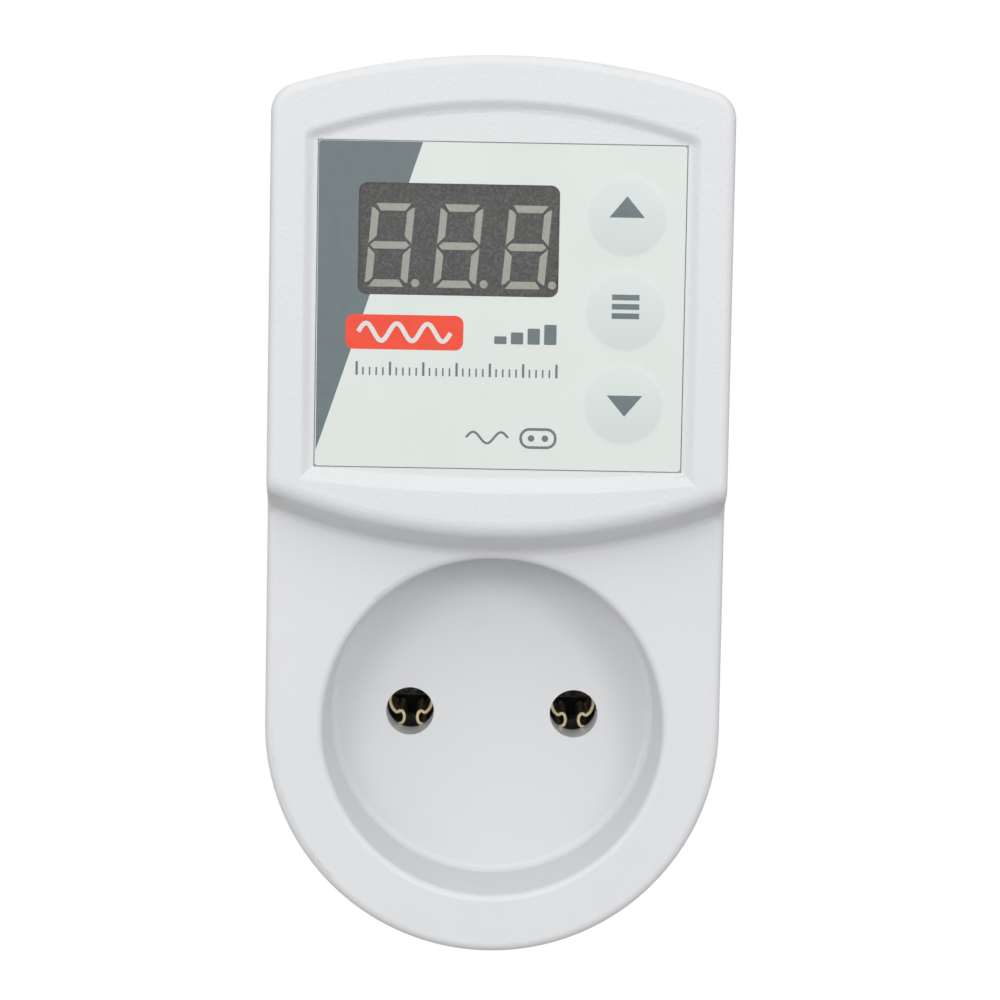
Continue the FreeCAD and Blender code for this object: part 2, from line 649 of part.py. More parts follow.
def rear_casing():
    body = new_body("rear_casing")
    pad(body, "back_block", casing_sketch(body, "back_outline", "parting_depth"),
        "parting_depth - back_depth", "-draft", to_back=True)
    fillet(body, "back_edges", "back_round", lambda e: lies_at(e, value("back_depth")))
    boss = new_sketch(body, "boss_section", "back_depth + 1")
    boss_outline(boss, "boss_radius", "boss_notch_width / 2", "boss_radius - boss_notch_height")
    pad(body, "boss", boss, "back_depth + 1", to_back=True)
    fillet(body, "boss_edges", "0.8", lambda e: lies_at(e, 0))
    inner = casing_sketch(body, "back_hollow", "parting_depth", "wall")
    pocket(body, "back_cavity", inner, "parting_depth - back_depth - wall", "-draft")
    boss_hollow = new_sketch(body, "boss_hollow", "back_depth + wall")
    boss_outline(boss_hollow, "boss_radius - boss_wall", "boss_notch_width / 2 + 1.6",
                 "boss_radius - boss_notch_height - 1.6")
    pocket(body, "boss_cavity", boss_hollow, "back_depth + wall - face_wall")

    lip = casing_sketch(body, "lip_outer", "parting_depth", "wall / 2 + 0.08", at="parting_depth - 3")
    pad(body, "lip", lip, "4.8")
    lip_inner = casing_sketch(body, "lip_inner", "parting_depth", "wall", at="parting_depth + 2")
    pocket(body, "lip_cavity", lip_inner, "parting_depth - back_depth - wall + 2")
    sleeves = new_sketch(body, "sleeve_outline", "back_depth + wall / 2")
    for x, z in casing_screw_places():
        add_circle(sleeves, x, z, "sleeve_radius")
    pad(body, "screw_sleeves", sleeves, "parting_depth - back_depth - wall / 2")
    board_posts = new_sketch(body, "main_board_post_outline", "back_depth + wall / 2")
    for x, z in MAIN_BOARD_POSTS:
        add_circle(board_posts, x, z, "2.5")
    pad(body, "main_board_posts", board_posts, "main_board_depth - back_depth - wall / 2")
    retainer_posts = new_sketch(body, "retainer_post_outline", "face_wall - 0.5")
    for x, z in RETAINER_SCREWS:
        add_circle(retainer_posts, x, z, "2.6")
    pad(body, "retainer_posts", retainer_posts, "2")

    heads = new_sketch(body, "screw_head_outline", "19.6")
    for x, z in casing_screw_places():
        add_circle(heads, x, z, "2.8")
    pocket(body, "screw_head_seats", heads, "4")
    shanks = new_sketch(body, "screw_shank_outline", "parting_depth + 1")
    for x, z in casing_screw_places():
        add_circle(shanks, x, z, "1.6")
    pocket(body, "screw_shank_holes", shanks, "parting_depth - 18")
    small_pilots(body, "main_board", MAIN_BOARD_POSTS[:2], "back_depth + 1.4", "8", "0.9")
    small_pilots(body, "retainer", RETAINER_SCREWS, "1.2", "4", "1")
    pins = new_sketch(body, "pin_hole_outline", "face_wall + 1")
    for side in ("-1", "1"):
        add_circle(pins, f"{side} * pin_pitch / 2", "0", "pin_shoulder")
    pocket(body, "pin_holes", pins, "face_wall + 2")
    return body


# ---------------------------------------------------------------------------------------------
# Overlay, keys and display
# ---------------------------------------------------------------------------------------------
def film_block(name, x, z, corner, depths):
    return rounded(name, box(name + "_sheet", x, depths, z), corner, ALONG_Y)


def overlay():
    film_depths = ("label_depth", "label_depth + film_thick")
    sheet_block = film_block("film_sheet", ("-film_half_width", "film_half_width"),
                             ("film_low", "film_high"), "film_corner", film_depths)
    opening = film_block("film_opening", ("window_left", "window_right"), ("window_low", "window_high"),
                         "window_corner", ("label_depth - 1", "label_depth + 2"))
    holes = [disc(f"film_hole_{name}", "key_radius + key_gap", "key_x", z,
                  ("label_depth - 1", "label_depth + 2"))
             for name, z in KEYS]
    node(cut("overlay_film", sheet_block, opening, *holes), "overlay_film")
    node(film_block("clear_window", ("window_left", "window_right"), ("window_low", "window_high"),
                    "window_corner", film_depths), "overlay_window")
    for name, z in KEYS:
        key_dome(name, z)


def key_dome(name, z):
    """Embossed disc of the overlay: a flat skirt, a short slope and a flat crown."""
    flat = disc(name + "_skirt", "key_radius", "key_x", z, ("label_depth", "label_depth + film_thick"))
    slope = doc.addObject("Part::Cone", name + "_slope")
    slope.Placement = FreeCAD.Placement(FreeCAD.Vector(), AXIS_TURNS["y"])
    bind(slope, "Radius1", "key_radius")
    bind(slope, "Radius2", "key_radius - 0.7")
    bind(slope, "Height", "key_rise")
    bind(slope, "Placement.Base.x", "key_x")
    bind(slope, "Placement.Base.y", "-label_depth - film_thick")
    bind(slope, "Placement.Base.z", z)
    node(fuse(name + "_dome", flat, slope), name + "_dome")


BOARD_FRONT = "display_board_depth + board_thick"
SWITCH_TOP = f"{BOARD_FRONT} + switch_height"


def tactile_switch(name, z):
    """Square body with a well for the plunger; the plunger reaches the back of the key's dome."""
    half = "switch_side / 2"
    block = box(name + "_block", (f"key_x - {half}", f"key_x + {half}"), (BOARD_FRONT, SWITCH_TOP),
                (f"{z} - {half}", f"{z} + {half}"))
    well = disc(name + "_well", "plunger_radius + 0.15", "key_x", z,
                (f"{BOARD_FRONT} + 1", f"{SWITCH_TOP} + 1"))
    node(cut(name + "_switch", block, well), name + "_switch")
    node(disc(name + "_plunger", "plunger_radius", "key_x", z, (f"{BOARD_FRONT} + 1.6", "label_depth")),
         name + "_plunger")
    plate = box(name + "_plate", (f"key_x - {half}", f"key_x + {half}"), (SWITCH_TOP, f"{SWITCH_TOP} + 0.25"),
                (f"{z} - {half}", f"{z} + {half}"))
    hole = disc(name + "_plate_hole", "plunger_radius + 0.25", "key_x", z,
                (f"{SWITCH_TOP} - 1", f"{SWITCH_TOP} + 1"))
    return cut(name + "_cover", plate, hole)


def segment(centre, length, upright):
    """Six-sided light well: a bar with pointed ends, as a face in the plane of the display."""
    half, tip = length / 2, value("stroke") / 2
    outline = [(-half, 0), (-half + tip, tip), (half - tip, tip), (half, 0), (half - tip, -tip),
               (-half + tip, -tip)]
    slant = math.tan(math.radians(value("digit_slant")))
    corners = []
    for along, across in outline:
        dx, dz = (across, along) if upright else (along, across)
        height = centre[1] + dz
        corners.append(FreeCAD.Vector(value("module_x") + centre[0] + dx + height * slant, 0,
                                      value("module_z") + height))
    corners.append(corners[0])
    return Part.Face(Part.makePolygon(corners))


def digit_segments(digit_x):
    """Seven segments of one digit, in the place of digit_x from the module's middle."""
    gap = 0.16
    wide, tall = value("digit_width"), value("digit_height") / 2
    faces = [segment((digit_x, row * tall), wide - gap, False) for row in (-1, 0, 1)]
    for side in (-1, 1):
        for row in (-1, 1):
            faces.append(segment((digit_x + side * wide / 2, row * tall / 2), tall - gap, True))
    return faces


def display_module():
    depths = ("module_face_depth - segment_thick", "module_face_depth")
    thick = FreeCAD.Vector(0, value("segment_thick"), 0)
    solids = []
    for digit in (-1, 0, 1):
        for face in digit_segments(digit * value("digit_pitch")):
            face.translate(FreeCAD.Vector(0, -value("module_face_depth"), 0))
            solids.append(face.extrude(thick))
    strokes = doc.addObject("Part::Feature", "segment_strokes")
    strokes.Shape = Part.makeCompound(solids)
    points = [disc(f"decimal_point_{i}", "point_radius",
                   f"module_x + {i} * digit_pitch + digit_width / 2 + 0.9",
                   "module_z - digit_height / 2 + 0.05", depths) for i in (-1, 0, 1)]
    segments = node(group("display_segments", strokes, *points), "display_segments")
    block = box("module_block", ("module_x - module_width / 2", "module_x + module_width / 2"),
                (BOARD_FRONT, "module_face_depth"),
                ("module_z - module_height / 2", "module_z + module_height / 2"))
    node(cut("display_module", block, segments), "display_module")
    pins = []
    for index in range(6):
        for side in ("-1", "1"):
            x, z = f"module_x + ({index} - 2.5) * 2.54", f"module_z + {side} * 5.08"
            pins.append(disc(f"module_pin_{index}_{side}", "0.25", x, z,
                             ("display_board_depth - 1.5", BOARD_FRONT)))
    return node(group("display_pins", *pins), "display_pins")


def screw(name, x, z, head_depth, tip_depth, head_radius, head_high, shank_radius, to_front=True):
    """Pan-head screw with a slot; to_front means that it is driven in towards the display."""
    if to_front:
        head_span = (f"{head_depth} - {head_high}", head_depth)
        shank_span = (head_depth, tip_depth)
        slot_span = (f"{head_depth} - {head_high} - 1", f"{head_depth} - {head_high} * 0.5")
    else:
        head_span = (head_depth, f"{head_depth} + {head_high}")
        shank_span = (tip_depth, head_depth)
        slot_span = (f"{head_depth} + {head_high} * 0.5", f"{head_depth} + {head_high} + 1")
    whole = fuse(name + "_whole", disc(name + "_head", head_radius, x, z, head_span),
                 disc(name + "_shank", shank_radius, x, z, shank_span))
    arm, reach = f"({head_radius}) * 0.16", f"({head_radius}) * 0.62"
    slots = [box(name + "_slot_a", (f"{x} - {arm}", f"{x} + {arm}"), slot_span,
                 (f"{z} - {reach}", f"{z} + {reach}")),
             box(name + "_slot_b", (f"{x} - {reach}", f"{x} + {reach}"), slot_span,
                 (f"{z} - {arm}", f"{z} + {arm}"))]
    return cut(name, whole, fuse(name + "_cross", *slots))


def screws():
    casing = [screw(f"casing_screw_{i}", x, z, "19.6", SCREW_TIP, "2.55", "1.8", "pilot_radius")
              for i, (x, z) in enumerate(casing_screw_places())]
    node(group("casing_screws", *casing), "casing_screws")
    display = [screw(f"display_screw_{i}", x, z, "display_board_depth", "display_board_depth + 5.2",
                     "1.6", "1.2", "0.8") for i, (x, z) in enumerate(DISPLAY_BOARD_SCREWS)]
    node(group("display_board_screws", *display), "display_board_screws")
    main = [screw(f"main_screw_{i}", x, z, "main_board_depth + board_thick", "19", "2.2", "1.4", "0.9",
                  to_front=False) for i, (x, z) in enumerate(MAIN_BOARD_POSTS[:2])]
    node(group("main_board_screws", *main), "main_board_screws")
    holder = [screw(f"holder_screw_{i}", x, z, "holder_depth", "holder_depth + 10", "2.2", "1.4", "1.1")
              for i, (x, z) in enumerate(HOLDER_SCREWS)]
    node(group("clip_holder_screws", *holder), "clip_holder_screws")
    retainer = [screw(f"retainer_screw_{i}", x, z, "5.8", "1.4", "2", "1.3", "1", to_front=False)
                for i, (x, z) in enumerate(RETAINER_SCREWS)]
    node(group("pin_retainer_screws", *retainer), "pin_retainer_screws")


# ---------------------------------------------------------------------------------------------
# Display board: circuit board, microcontroller and the row of pins that joins the two boards
# ---------------------------------------------------------------------------------------------
def display_board(module_pins):
    covers = [tactile_switch(name, z) for name, z in KEYS]
    node(group("switch_covers", *covers), "switch_covers")
    pins = [box(f"header_pin_{i}", (f"({i} - 3.5) * 2.54 - 0.32", f"({i} - 3.5) * 2.54 + 0.32"),
                ("main_board_depth - 1.2", f"{BOARD_FRONT} + 0.9"),
                (f"{HEADER_Z} - 0.32", f"{HEADER_Z} + 0.32"))
            for i in range(8)]
    header = node(group("header_pins", *pins), "header_pins")
    span_x, span_z = ("-10.2", "10.2"), (f"{HEADER_Z} - 1.25", f"{HEADER_Z} + 1.25")
    strips = [box("front_strip", span_x, ("display_board_depth - 2.5", "display_board_depth"), span_z),
              box("rear_strip", span_x, (MAIN_FRONT, f"{MAIN_FRONT} + 2.5"), span_z)]
    node(cut("header_strips", group("strip_pair", *strips), copy_of("strip_pins", header)), "header_strips")
    plate = box("display_plate", ("-21.4", "21.4"), ("display_board_depth", BOARD_FRONT), ("29.6", "62.4"))
    holes = [disc(f"display_plate_hole_{i}", "0.8", x, z, ("display_board_depth - 1", f"{BOARD_FRONT} + 1"))
             for i, (x, z) in enumerate(DISPLAY_BOARD_SCREWS)]
    node(cut("display_board", plate, *holes, copy_of("board_pins", header),
             copy_of("board_module_pins", module_pins)),
         "display_board")
    chip_low, chip_high = "36", "43.5"
    chip = box("chip_body", ("-14", "-1.2"), ("display_board_depth - 2.3", "display_board_depth - 0.15"),
               (chip_low, chip_high))
    leads = []
    for i in range(10):
        x = f"-7.6 + ({i} - 4.5) * 1.27"
        for low, high in ((f"{chip_low} - 1.2", chip_low), (chip_high, f"{chip_high} + 1.2")):
            leads.append(box(f"chip_lead_{i}_{low[:2]}", (f"{x} - 0.2", f"{x} + 0.2"),
                             ("display_board_depth - 0.6", "display_board_depth"), (low, high)))
    node(fuse("microcontroller", chip, *leads), "microcontroller")


# ---------------------------------------------------------------------------------------------
# Main board with its relay and supply parts
# ---------------------------------------------------------------------------------------------
MAIN_FRONT = "main_board_depth + board_thick"
RELAY_MIDDLE = "relay_left + relay_width / 2"


def relay():
    """Relay with an L-shaped yoke; its armature stands open and turns on the yoke's upper edge."""
    right, high = "relay_left + relay_width", "relay_low + relay_length"
    base_top = f"{MAIN_FRONT} + 1.5"
    pins = [box(f"relay_pin_{i}", (f"{x} - 0.4", f"{x} + 0.4"), ("main_board_depth - 1.2", f"{base_top}"),
                (f"{z} - 0.25", f"{z} + 0.25"))
            for i, (x, z) in enumerate([("-17.5", "40"), ("-6", "40"), ("-17.5", "55.4"), ("-6", "55.4"),
                                        (RELAY_MIDDLE, "55.4")])]
    relay_pins = node(group("relay_pins", *pins), "relay_pins")
    base = box("relay_base_plate", ("relay_left", right), (MAIN_FRONT, base_top), ("relay_low", high))
    node(cut("relay_base", base, copy_of("base_pins", relay_pins)), "relay_base")
    shell = box("relay_shell", ("relay_left", right), (base_top, "relay_top_depth"), ("relay_low", high))
    hollow = box("relay_hollow", ("relay_left + relay_cover_wall", f"{right} - relay_cover_wall"),
                 (f"{base_top} - 1", "relay_top_depth - relay_cover_wall"),
                 ("relay_low + relay_cover_wall", f"{high} - relay_cover_wall"))
    node(cut("relay_cover", shell, hollow), "relay_cover")

    middle, low_flange, high_flange = RELAY_MIDDLE, "26.5", "34.6"
    yoke_left, yoke_right = f"{middle} - 3.7", f"{middle} + 3.7"
    foot = box("yoke_foot", (yoke_left, yoke_right), (base_top, low_flange), ("39.2", "50"))
    leg = box("yoke_leg", (yoke_left, yoke_right), (base_top, "pole_depth"), ("39.2", "40.6"))
    core_hole = disc("yoke_core_hole", "2", middle, "coil_z", (f"{base_top} - 1", "28"))
    node(cut("relay_yoke", fuse("yoke_bent", foot, leg), core_hole), "relay_yoke")
    stem = disc("core_stem", "2", middle, "coil_z", (base_top, "35.4"))
    pole = disc("core_pole", "3.6", middle, "coil_z", ("35.4", "pole_depth"))
    node(fuse("relay_core", stem, pole), "relay_core")
    flanges = [box(f"bobbin_flange_{i}", (f"{middle} - 5.6", f"{middle} + 5.6"), (start, f"{start} + 0.8"),
                   ("coil_z - 5.2", "coil_z + 5.6")) for i, start in enumerate((low_flange, high_flange))]
    tube = disc("bobbin_tube", "3", middle, "coil_z", (low_flange, f"{high_flange} + 0.8"))
    bobbin = fuse("bobbin_whole", *flanges, tube)
    node(cut("relay_bobbin", bobbin, disc("bobbin_bore", "2", middle, "coil_z", ("25", "37"))),
         "relay_bobbin")
    winding = disc("winding_outer", "5.1", middle, "coil_z", (f"{low_flange} + 0.8", high_flange))
    node(cut("relay_winding", winding, disc("winding_bore", "3", middle, "coil_z", ("25", "37"))),
         "relay_winding")
    fixed_stem = box("fixed_stem", (f"{middle} - 1.5", f"{middle} + 1.5"), (base_top, "35.2"),
                     ("53.6", "54.3"))
    fixed_arm = box("fixed_arm", (f"{middle} - 1.5", f"{middle} + 1.5"), ("34.5", "35.2"), ("51.9", "54.3"))
    fixed_pad = disc("fixed_pad", "1.2", middle, "53", ("35.2", "36.2"))
    node(fuse("relay_fixed_contact", fixed_stem, fixed_arm, fixed_pad), "relay_fixed_contact")

    plate = box("armature_plate", (yoke_left, yoke_right), ("pole_depth + 0.05", "pole_depth + 1.05"),
                ("39.3", "50.2"))
    blade_strip = box("blade_strip", (f"{middle} - 1.6", f"{middle} + 1.6"),
                      ("pole_depth + 1.05", "pole_depth + 1.35"),
                      ("42", "54.6"))
    blade_pad = disc("blade_pad", "1.2", middle, "53", ("36.25", "pole_depth + 1.05"))
    opened(node(group("relay_armature", plate), "relay_armature"))
    opened(node(fuse("relay_moving_contact", blade_strip, blade_pad), "relay_moving_contact"))
    return relay_pins


def opened(thing):
    """Turn a piece that is laid out closed about the yoke's upper edge to where it stands open."""
    turn = FreeCAD.Rotation(FreeCAD.Vector(1, 0, 0), value("armature_angle"))
    hinge = FreeCAD.Vector(0, -value("pole_depth"), 39.2)
    thing.Placement = FreeCAD.Placement(FreeCAD.Vector(), turn, hinge)


def solder_legs(places):
    """Leads of the supply parts, through the board and out on its solder side."""
    legs = [disc(f"leg_{i}", "0.35", x, z, ("main_board_depth - 1.2", MAIN_FRONT))
            for i, (x, z) in enumerate(places)]
    return node(group("component_leads", *legs), "component_leads")


def lying_part(name, x, z, radius, axis, length):
    """Small axial part that rests on the main board."""
    return rod(name, radius, (x, f"{MAIN_FRONT} + {radius}", z), length, axis)


def main_board(header_pins):
    relay_pins = relay()
    node(rounded("film_capacitor", box("capacitor_block", ("-1.5", "16.5"), (MAIN_FRONT, "38.4"),
                                       ("34.2", "43.2")),
                 "0.8", ALONG_Y), "film_capacitor")
    node(disc("supply_capacitor", "5", "13.6", "50", (MAIN_FRONT, "36.1")), "supply_capacitor")
    node(disc("logic_capacitor", "3.15", "13.6", "58.4", (MAIN_FRONT, "34.8")), "logic_capacitor")
    node(rod("varistor", "5", ("0.2", f"{MAIN_FRONT} + 5.8", "56.6"), "4", "x"), "varistor")
    node(lying_part("fusible_resistor", "12", "26.6", "1.7", "x", "9"), "fusible_resistor")
    diodes = [lying_part(f"diode_{i}", f"-1.8 + {i} * 2.9", "45", "1.35", "z", "5.2") for i in range(4)]
    node(group("rectifier_diodes", *diodes), "rectifier_diodes")
    resistors = [lying_part(f"resistor_{i}", f"-13 + {i} * 7.9", "26.2", "1.15", "x", "6.3")
                 for i in range(3)]
    node(group("resistors", *resistors), "resistors")
    node(cut("voltage_regulator", disc("regulator_round", "2.4", "17.6", "31", ("25", "29.8")),
             box("regulator_flat", ("14", "21"), ("24", "31"), ("32.2", "35"))), "voltage_regulator")
    leads = solder_legs([("1", "38.7"), ("14", "38.7"), ("11.1", "50"), ("16.1", "50"), ("12.35", "58.4"),
                         ("14.85", "58.4"), ("2.2", "53"), ("2.2", "60.2")])
    plate = box("main_plate", ("-main_board_half_width", "main_board_half_width"),
                ("main_board_depth", MAIN_FRONT),
                ("main_board_low", "main_board_high"))
    holes = [disc(f"main_plate_hole_{i}", "0.9", x, z, ("main_board_depth - 1", f"{MAIN_FRONT} + 1"))
             for i, (x, z) in enumerate(MAIN_BOARD_POSTS[:2])]
    node(cut("main_board", plate, *holes, copy_of("main_header", header_pins),
             copy_of("main_relay_pins", relay_pins),
             copy_of("main_leads", leads)), "main_board")


# ---------------------------------------------------------------------------------------------
# Current path: plug pins, their retainer, contact clips and their holder, strap, tab and wires
# ---------------------------------------------------------------------------------------------
def plug_pin(name, side):
    """Solid pin: round tip, shaft, shoulder in the boss's end wall, flange, tail and riveted head."""
    x = f"{side} * pin_pitch / 2"
    shaft = disc(name + "_shaft", "pin_radius", x, "0", ("-(pin_length - pin_radius)", "0"))
    shoulder = disc(name + "_shoulder", "pin_shoulder", x, "0", ("0", "face_wall"))
    tip = doc.addObject("Part::Sphere", name + "_tip")
    bind(tip, "Radius", "pin_radius")
    bind(tip, "Placement.Base.x", x)
    bind(tip, "Placement.Base.y", "pin_length - pin_radius")
    flange = disc(name + "_flange", "3.5", x, "0", ("face_wall", "4"))
    tail = disc(name + "_tail", "1.6", x, "0", ("4", "6.4"))
    rivet = disc(name + "_rivet", "2.4", x, "0", ("6.4", "7.2"))
    node(fuse(name, shaft, tip, shoulder, flange, tail, rivet), name)


def contact_clip(name, side):
    """Split brass tube that grips a plug's pin, standing on a collar plate."""
    x = f"{side} * pin_pitch / 2"
    near, far = ("5.9", "strap_x") if side == "1" else ("-strap_x", "-5.9")
    tube = disc(name + "_tube", "clip_inner + clip_thick", x, "0",
                ("clip_back_depth - 0.1", "clip_front_depth"))
    collar = box(name + "_collar", (near, far), ("clip_back_depth - clip_thick", "clip_back_depth"),
                 ("-3.6", "3.6"))
    bore = disc(name + "_bore", "clip_inner", x, "0", ("19", "32"))
    split = box(name + "_split", (f"{x} - 0.9", f"{x} + 0.9"), ("clip_back_depth + 1.5", "32"), ("-4", "4"))
    return node(cut(name, fuse(name + "_solid", tube, collar), bore, split), name)


def pin_retainer():
    plate = rounded("retainer_plate", box("retainer_block", ("-14", "14"), ("4", "5.8"), ("-6.8", "6.8")),
                    "3", ALONG_Y)
    holes = [disc(f"retainer_pin_hole_{side}", "1.7", f"{side} * pin_pitch / 2", "0", ("3", "7"))
             for side in ("-1", "1")]
    holes += [disc(f"retainer_screw_hole_{i}", "1", x, z, ("3", "7"))
              for i, (x, z) in enumerate(RETAINER_SCREWS)]
    node(cut("pin_retainer", plate, *holes), "pin_retainer")


def clip_holder():
    depths, through = ("holder_depth", "holder_depth + 2.2"), ("holder_depth - 1", "holder_depth + 4")
    plate = rounded("holder_plate", box("holder_block", ("-holder_half_width", "holder_half_width"), depths,
                                        ("-holder_half_height", "holder_half_height")), "3", ALONG_Y)
    holes = [disc(f"holder_pin_hole_{side}", "2.9", f"{side} * pin_pitch / 2", "0", through)
             for side in ("-1", "1")]
    holes += [disc(f"holder_screw_hole_{i}", "1.1", x, z, through) for i, (x, z) in enumerate(HOLDER_SCREWS)]
    slot = box("holder_slot", ("strap_x - 0.1", "strap_x + clip_thick + 0.1"), through, ("-2.7", "2.7"))
    node(cut("clip_holder", plate, *holes, slot), "clip_holder")


def riveted_tab(name, x, z):
    """Flat brass tab on the tail of a pin, between the retainer and the riveted head."""
    side = "-1" if x[0].startswith("-") else "1"
    flat = box(name + "_flat", x, ("5.8", "6.4"), z)
    hole = disc(name + "_hole", "1.6", f"{side} * pin_pitch / 2", "0", ("5", "7"))
    return cut(name, flat, hole)


def wire(name, route):
    """Insulated wire along straight runs joined by tangent arcs; the route is (x, depth, z)."""
    points = [FreeCAD.Vector(x, -depth, z) for x, depth, z in route]
    edges, start = [], points[0]
    for before, corner, after in zip(points, points[1:], points[2:]):
        arriving, leaving = (corner - before).normalize(), (after - corner).normalize()
        turn = arriving.getAngle(leaving)
        setback = 0.45 * min(before.distanceToPoint(corner), after.distanceToPoint(corner))
        first, last = corner - arriving * setback, corner + leaving * setback
        bisector = (leaving - arriving).normalize()
        radius = setback / math.tan(turn / 2)
        middle = corner + bisector * (radius / math.cos(turn / 2) - radius)
        edges += [Part.LineSegment(start, first).toShape(), Part.Arc(first, middle, last).toShape()]
        start = last
    edges.append(Part.LineSegment(start, points[-1]).toShape())
    path = Part.Wire(edges)
    ring = Part.Wire(Part.makeCircle(value("wire_radius"), points[0], points[1] - points[0]))
    tube = Part.Wire(path).makePipeShell([ring], True, False)
    piece = doc.addObject("Part::Feature", name)
    piece.Shape = tube
    node(piece, name)


def current_path():
    plug_pin("live_pin", "-1")
    plug_pin("neutral_pin", "1")
    contact_clip("live_clip", "-1")
    contact_clip("neutral_clip", "1")
    pin_retainer()
    clip_holder()
    node(riveted_tab("live_tab", ("-13", "-6.5"), ("-2.5", "5.8")), "live_tab")
    upright = box("strap_upright", ("strap_x", "strap_x + clip_thick"), ("5.8", "clip_back_depth + 2.5"),
                  ("-2.5", "2.5"))
    foot = riveted_tab("strap_foot", ("6.5", "strap_x"), ("-2.5", "2.5"))
    node(fuse("neutral_strap", foot, upright), "neutral_strap")
    wire("live_in_wire", [(-9.5, 7.4, 4.2), (-9, 8.6, 9), (-8.2, 20.4, 10.2), (-12.5, 20.6, 17.5),
                          (-15, 20.6, 25)])
    wire("live_out_wire", [(-12.2, 23.0, 3.7), (-13.6, 23.4, 9.5), (-16.8, 20.9, 16), (-18.4, 20.5, 22),
                           (-18.5, 20.5, 29)])
    wire("neutral_wire", [(15.05, 23.4, 0), (15.6, 23.4, 9.5), (17.2, 20.9, 16), (17.6, 20.5, 22),
                          (17.4, 20.5, 28)])


# ---------------------------------------------------------------------------------------------
# Build, check and write
# ---------------------------------------------------------------------------------------------
def check_document():
    """Stop if any object failed, if a feature changed nothing, or if a sub-part isn't solid."""
    for thing in doc.Objects:
        if {"Invalid", "Error"} & set(thing.State):
            raise RuntimeError(f"{thing.Name} failed: {thing.State}")
        base = getattr(thing, "BaseFeature", None)
        if thing.isDerivedFrom("PartDesign::Feature") and base is not None:
            change = thing.Shape.Volume - base.Shape.Volume
            if abs(change) < 1e-4:
                raise RuntimeError(f"{thing.Name} changed nothing")
            if thing.TypeId in ("PartDesign::Pocket", "PartDesign::Groove") and change > 0:
                raise RuntimeError(f"{thing.Name} added material")
    for thing in NODES:
        if thing.Shape.isNull() or not thing.Shape.isValid() or not thing.Shape.Solids:
            raise RuntimeError(f"{thing.Label} isn't a valid solid")


front_casing()
rear_casing()
overlay()
module_pins = display_module()
display_board(module_pins)
main_board(next(thing for thing in NODES if thing.Label == "header_pins"))
current_path()
screws()
doc.recompute()
check_document()
os.makedirs("parts", exist_ok=True)
for thing in NODES:
    thing.Shape.exportStep(f"parts/{thing.Label}.step")
    box_of = thing.Shape.BoundBox
    print(f"{thing.Label:22s} solids {len(thing.Shape.Solids):2d}  volume {thing.Shape.Volume:9.1f}  "
          f"x {box_of.XMin:6.1f} {box_of.XMax:6.1f}  y {box_of.YMin:6.1f} {box_of.YMax:6.1f}  "
          f"z {box_of.ZMin:6.1f} {box_of.ZMax:6.1f}")
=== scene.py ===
import json
from math import cos, pi, radians, sin

import bmesh
import bpy
from mathutils import Matrix, Vector


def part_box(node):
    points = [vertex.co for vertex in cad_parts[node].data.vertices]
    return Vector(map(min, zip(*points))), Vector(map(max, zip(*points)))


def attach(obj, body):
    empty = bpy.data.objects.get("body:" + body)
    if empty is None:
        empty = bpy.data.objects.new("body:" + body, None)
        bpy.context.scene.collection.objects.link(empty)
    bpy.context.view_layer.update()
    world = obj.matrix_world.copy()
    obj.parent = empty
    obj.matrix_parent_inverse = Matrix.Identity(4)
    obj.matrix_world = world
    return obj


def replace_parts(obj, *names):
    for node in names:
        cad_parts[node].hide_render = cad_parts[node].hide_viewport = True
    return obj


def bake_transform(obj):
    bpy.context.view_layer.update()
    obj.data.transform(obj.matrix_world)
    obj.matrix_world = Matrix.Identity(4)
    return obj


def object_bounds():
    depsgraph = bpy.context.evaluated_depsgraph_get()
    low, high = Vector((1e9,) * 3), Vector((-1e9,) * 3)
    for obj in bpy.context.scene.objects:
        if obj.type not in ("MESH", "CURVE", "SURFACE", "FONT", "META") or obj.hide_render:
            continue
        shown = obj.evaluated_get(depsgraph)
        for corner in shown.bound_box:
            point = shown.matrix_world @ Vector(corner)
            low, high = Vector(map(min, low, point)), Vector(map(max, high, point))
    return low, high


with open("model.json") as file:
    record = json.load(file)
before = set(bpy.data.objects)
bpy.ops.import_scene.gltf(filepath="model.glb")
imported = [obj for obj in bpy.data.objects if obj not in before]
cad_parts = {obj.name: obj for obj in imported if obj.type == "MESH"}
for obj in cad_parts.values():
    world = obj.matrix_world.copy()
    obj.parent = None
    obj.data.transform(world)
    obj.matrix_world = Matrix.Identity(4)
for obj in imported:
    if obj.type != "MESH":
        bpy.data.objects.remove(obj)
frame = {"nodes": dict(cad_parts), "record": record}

MM = 0.001
CAD_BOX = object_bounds()
CASING = "casing"
PARTING = -31 * MM  # depth of the seam between the casing's two shells


# ---------------------------------------------------------------- materials

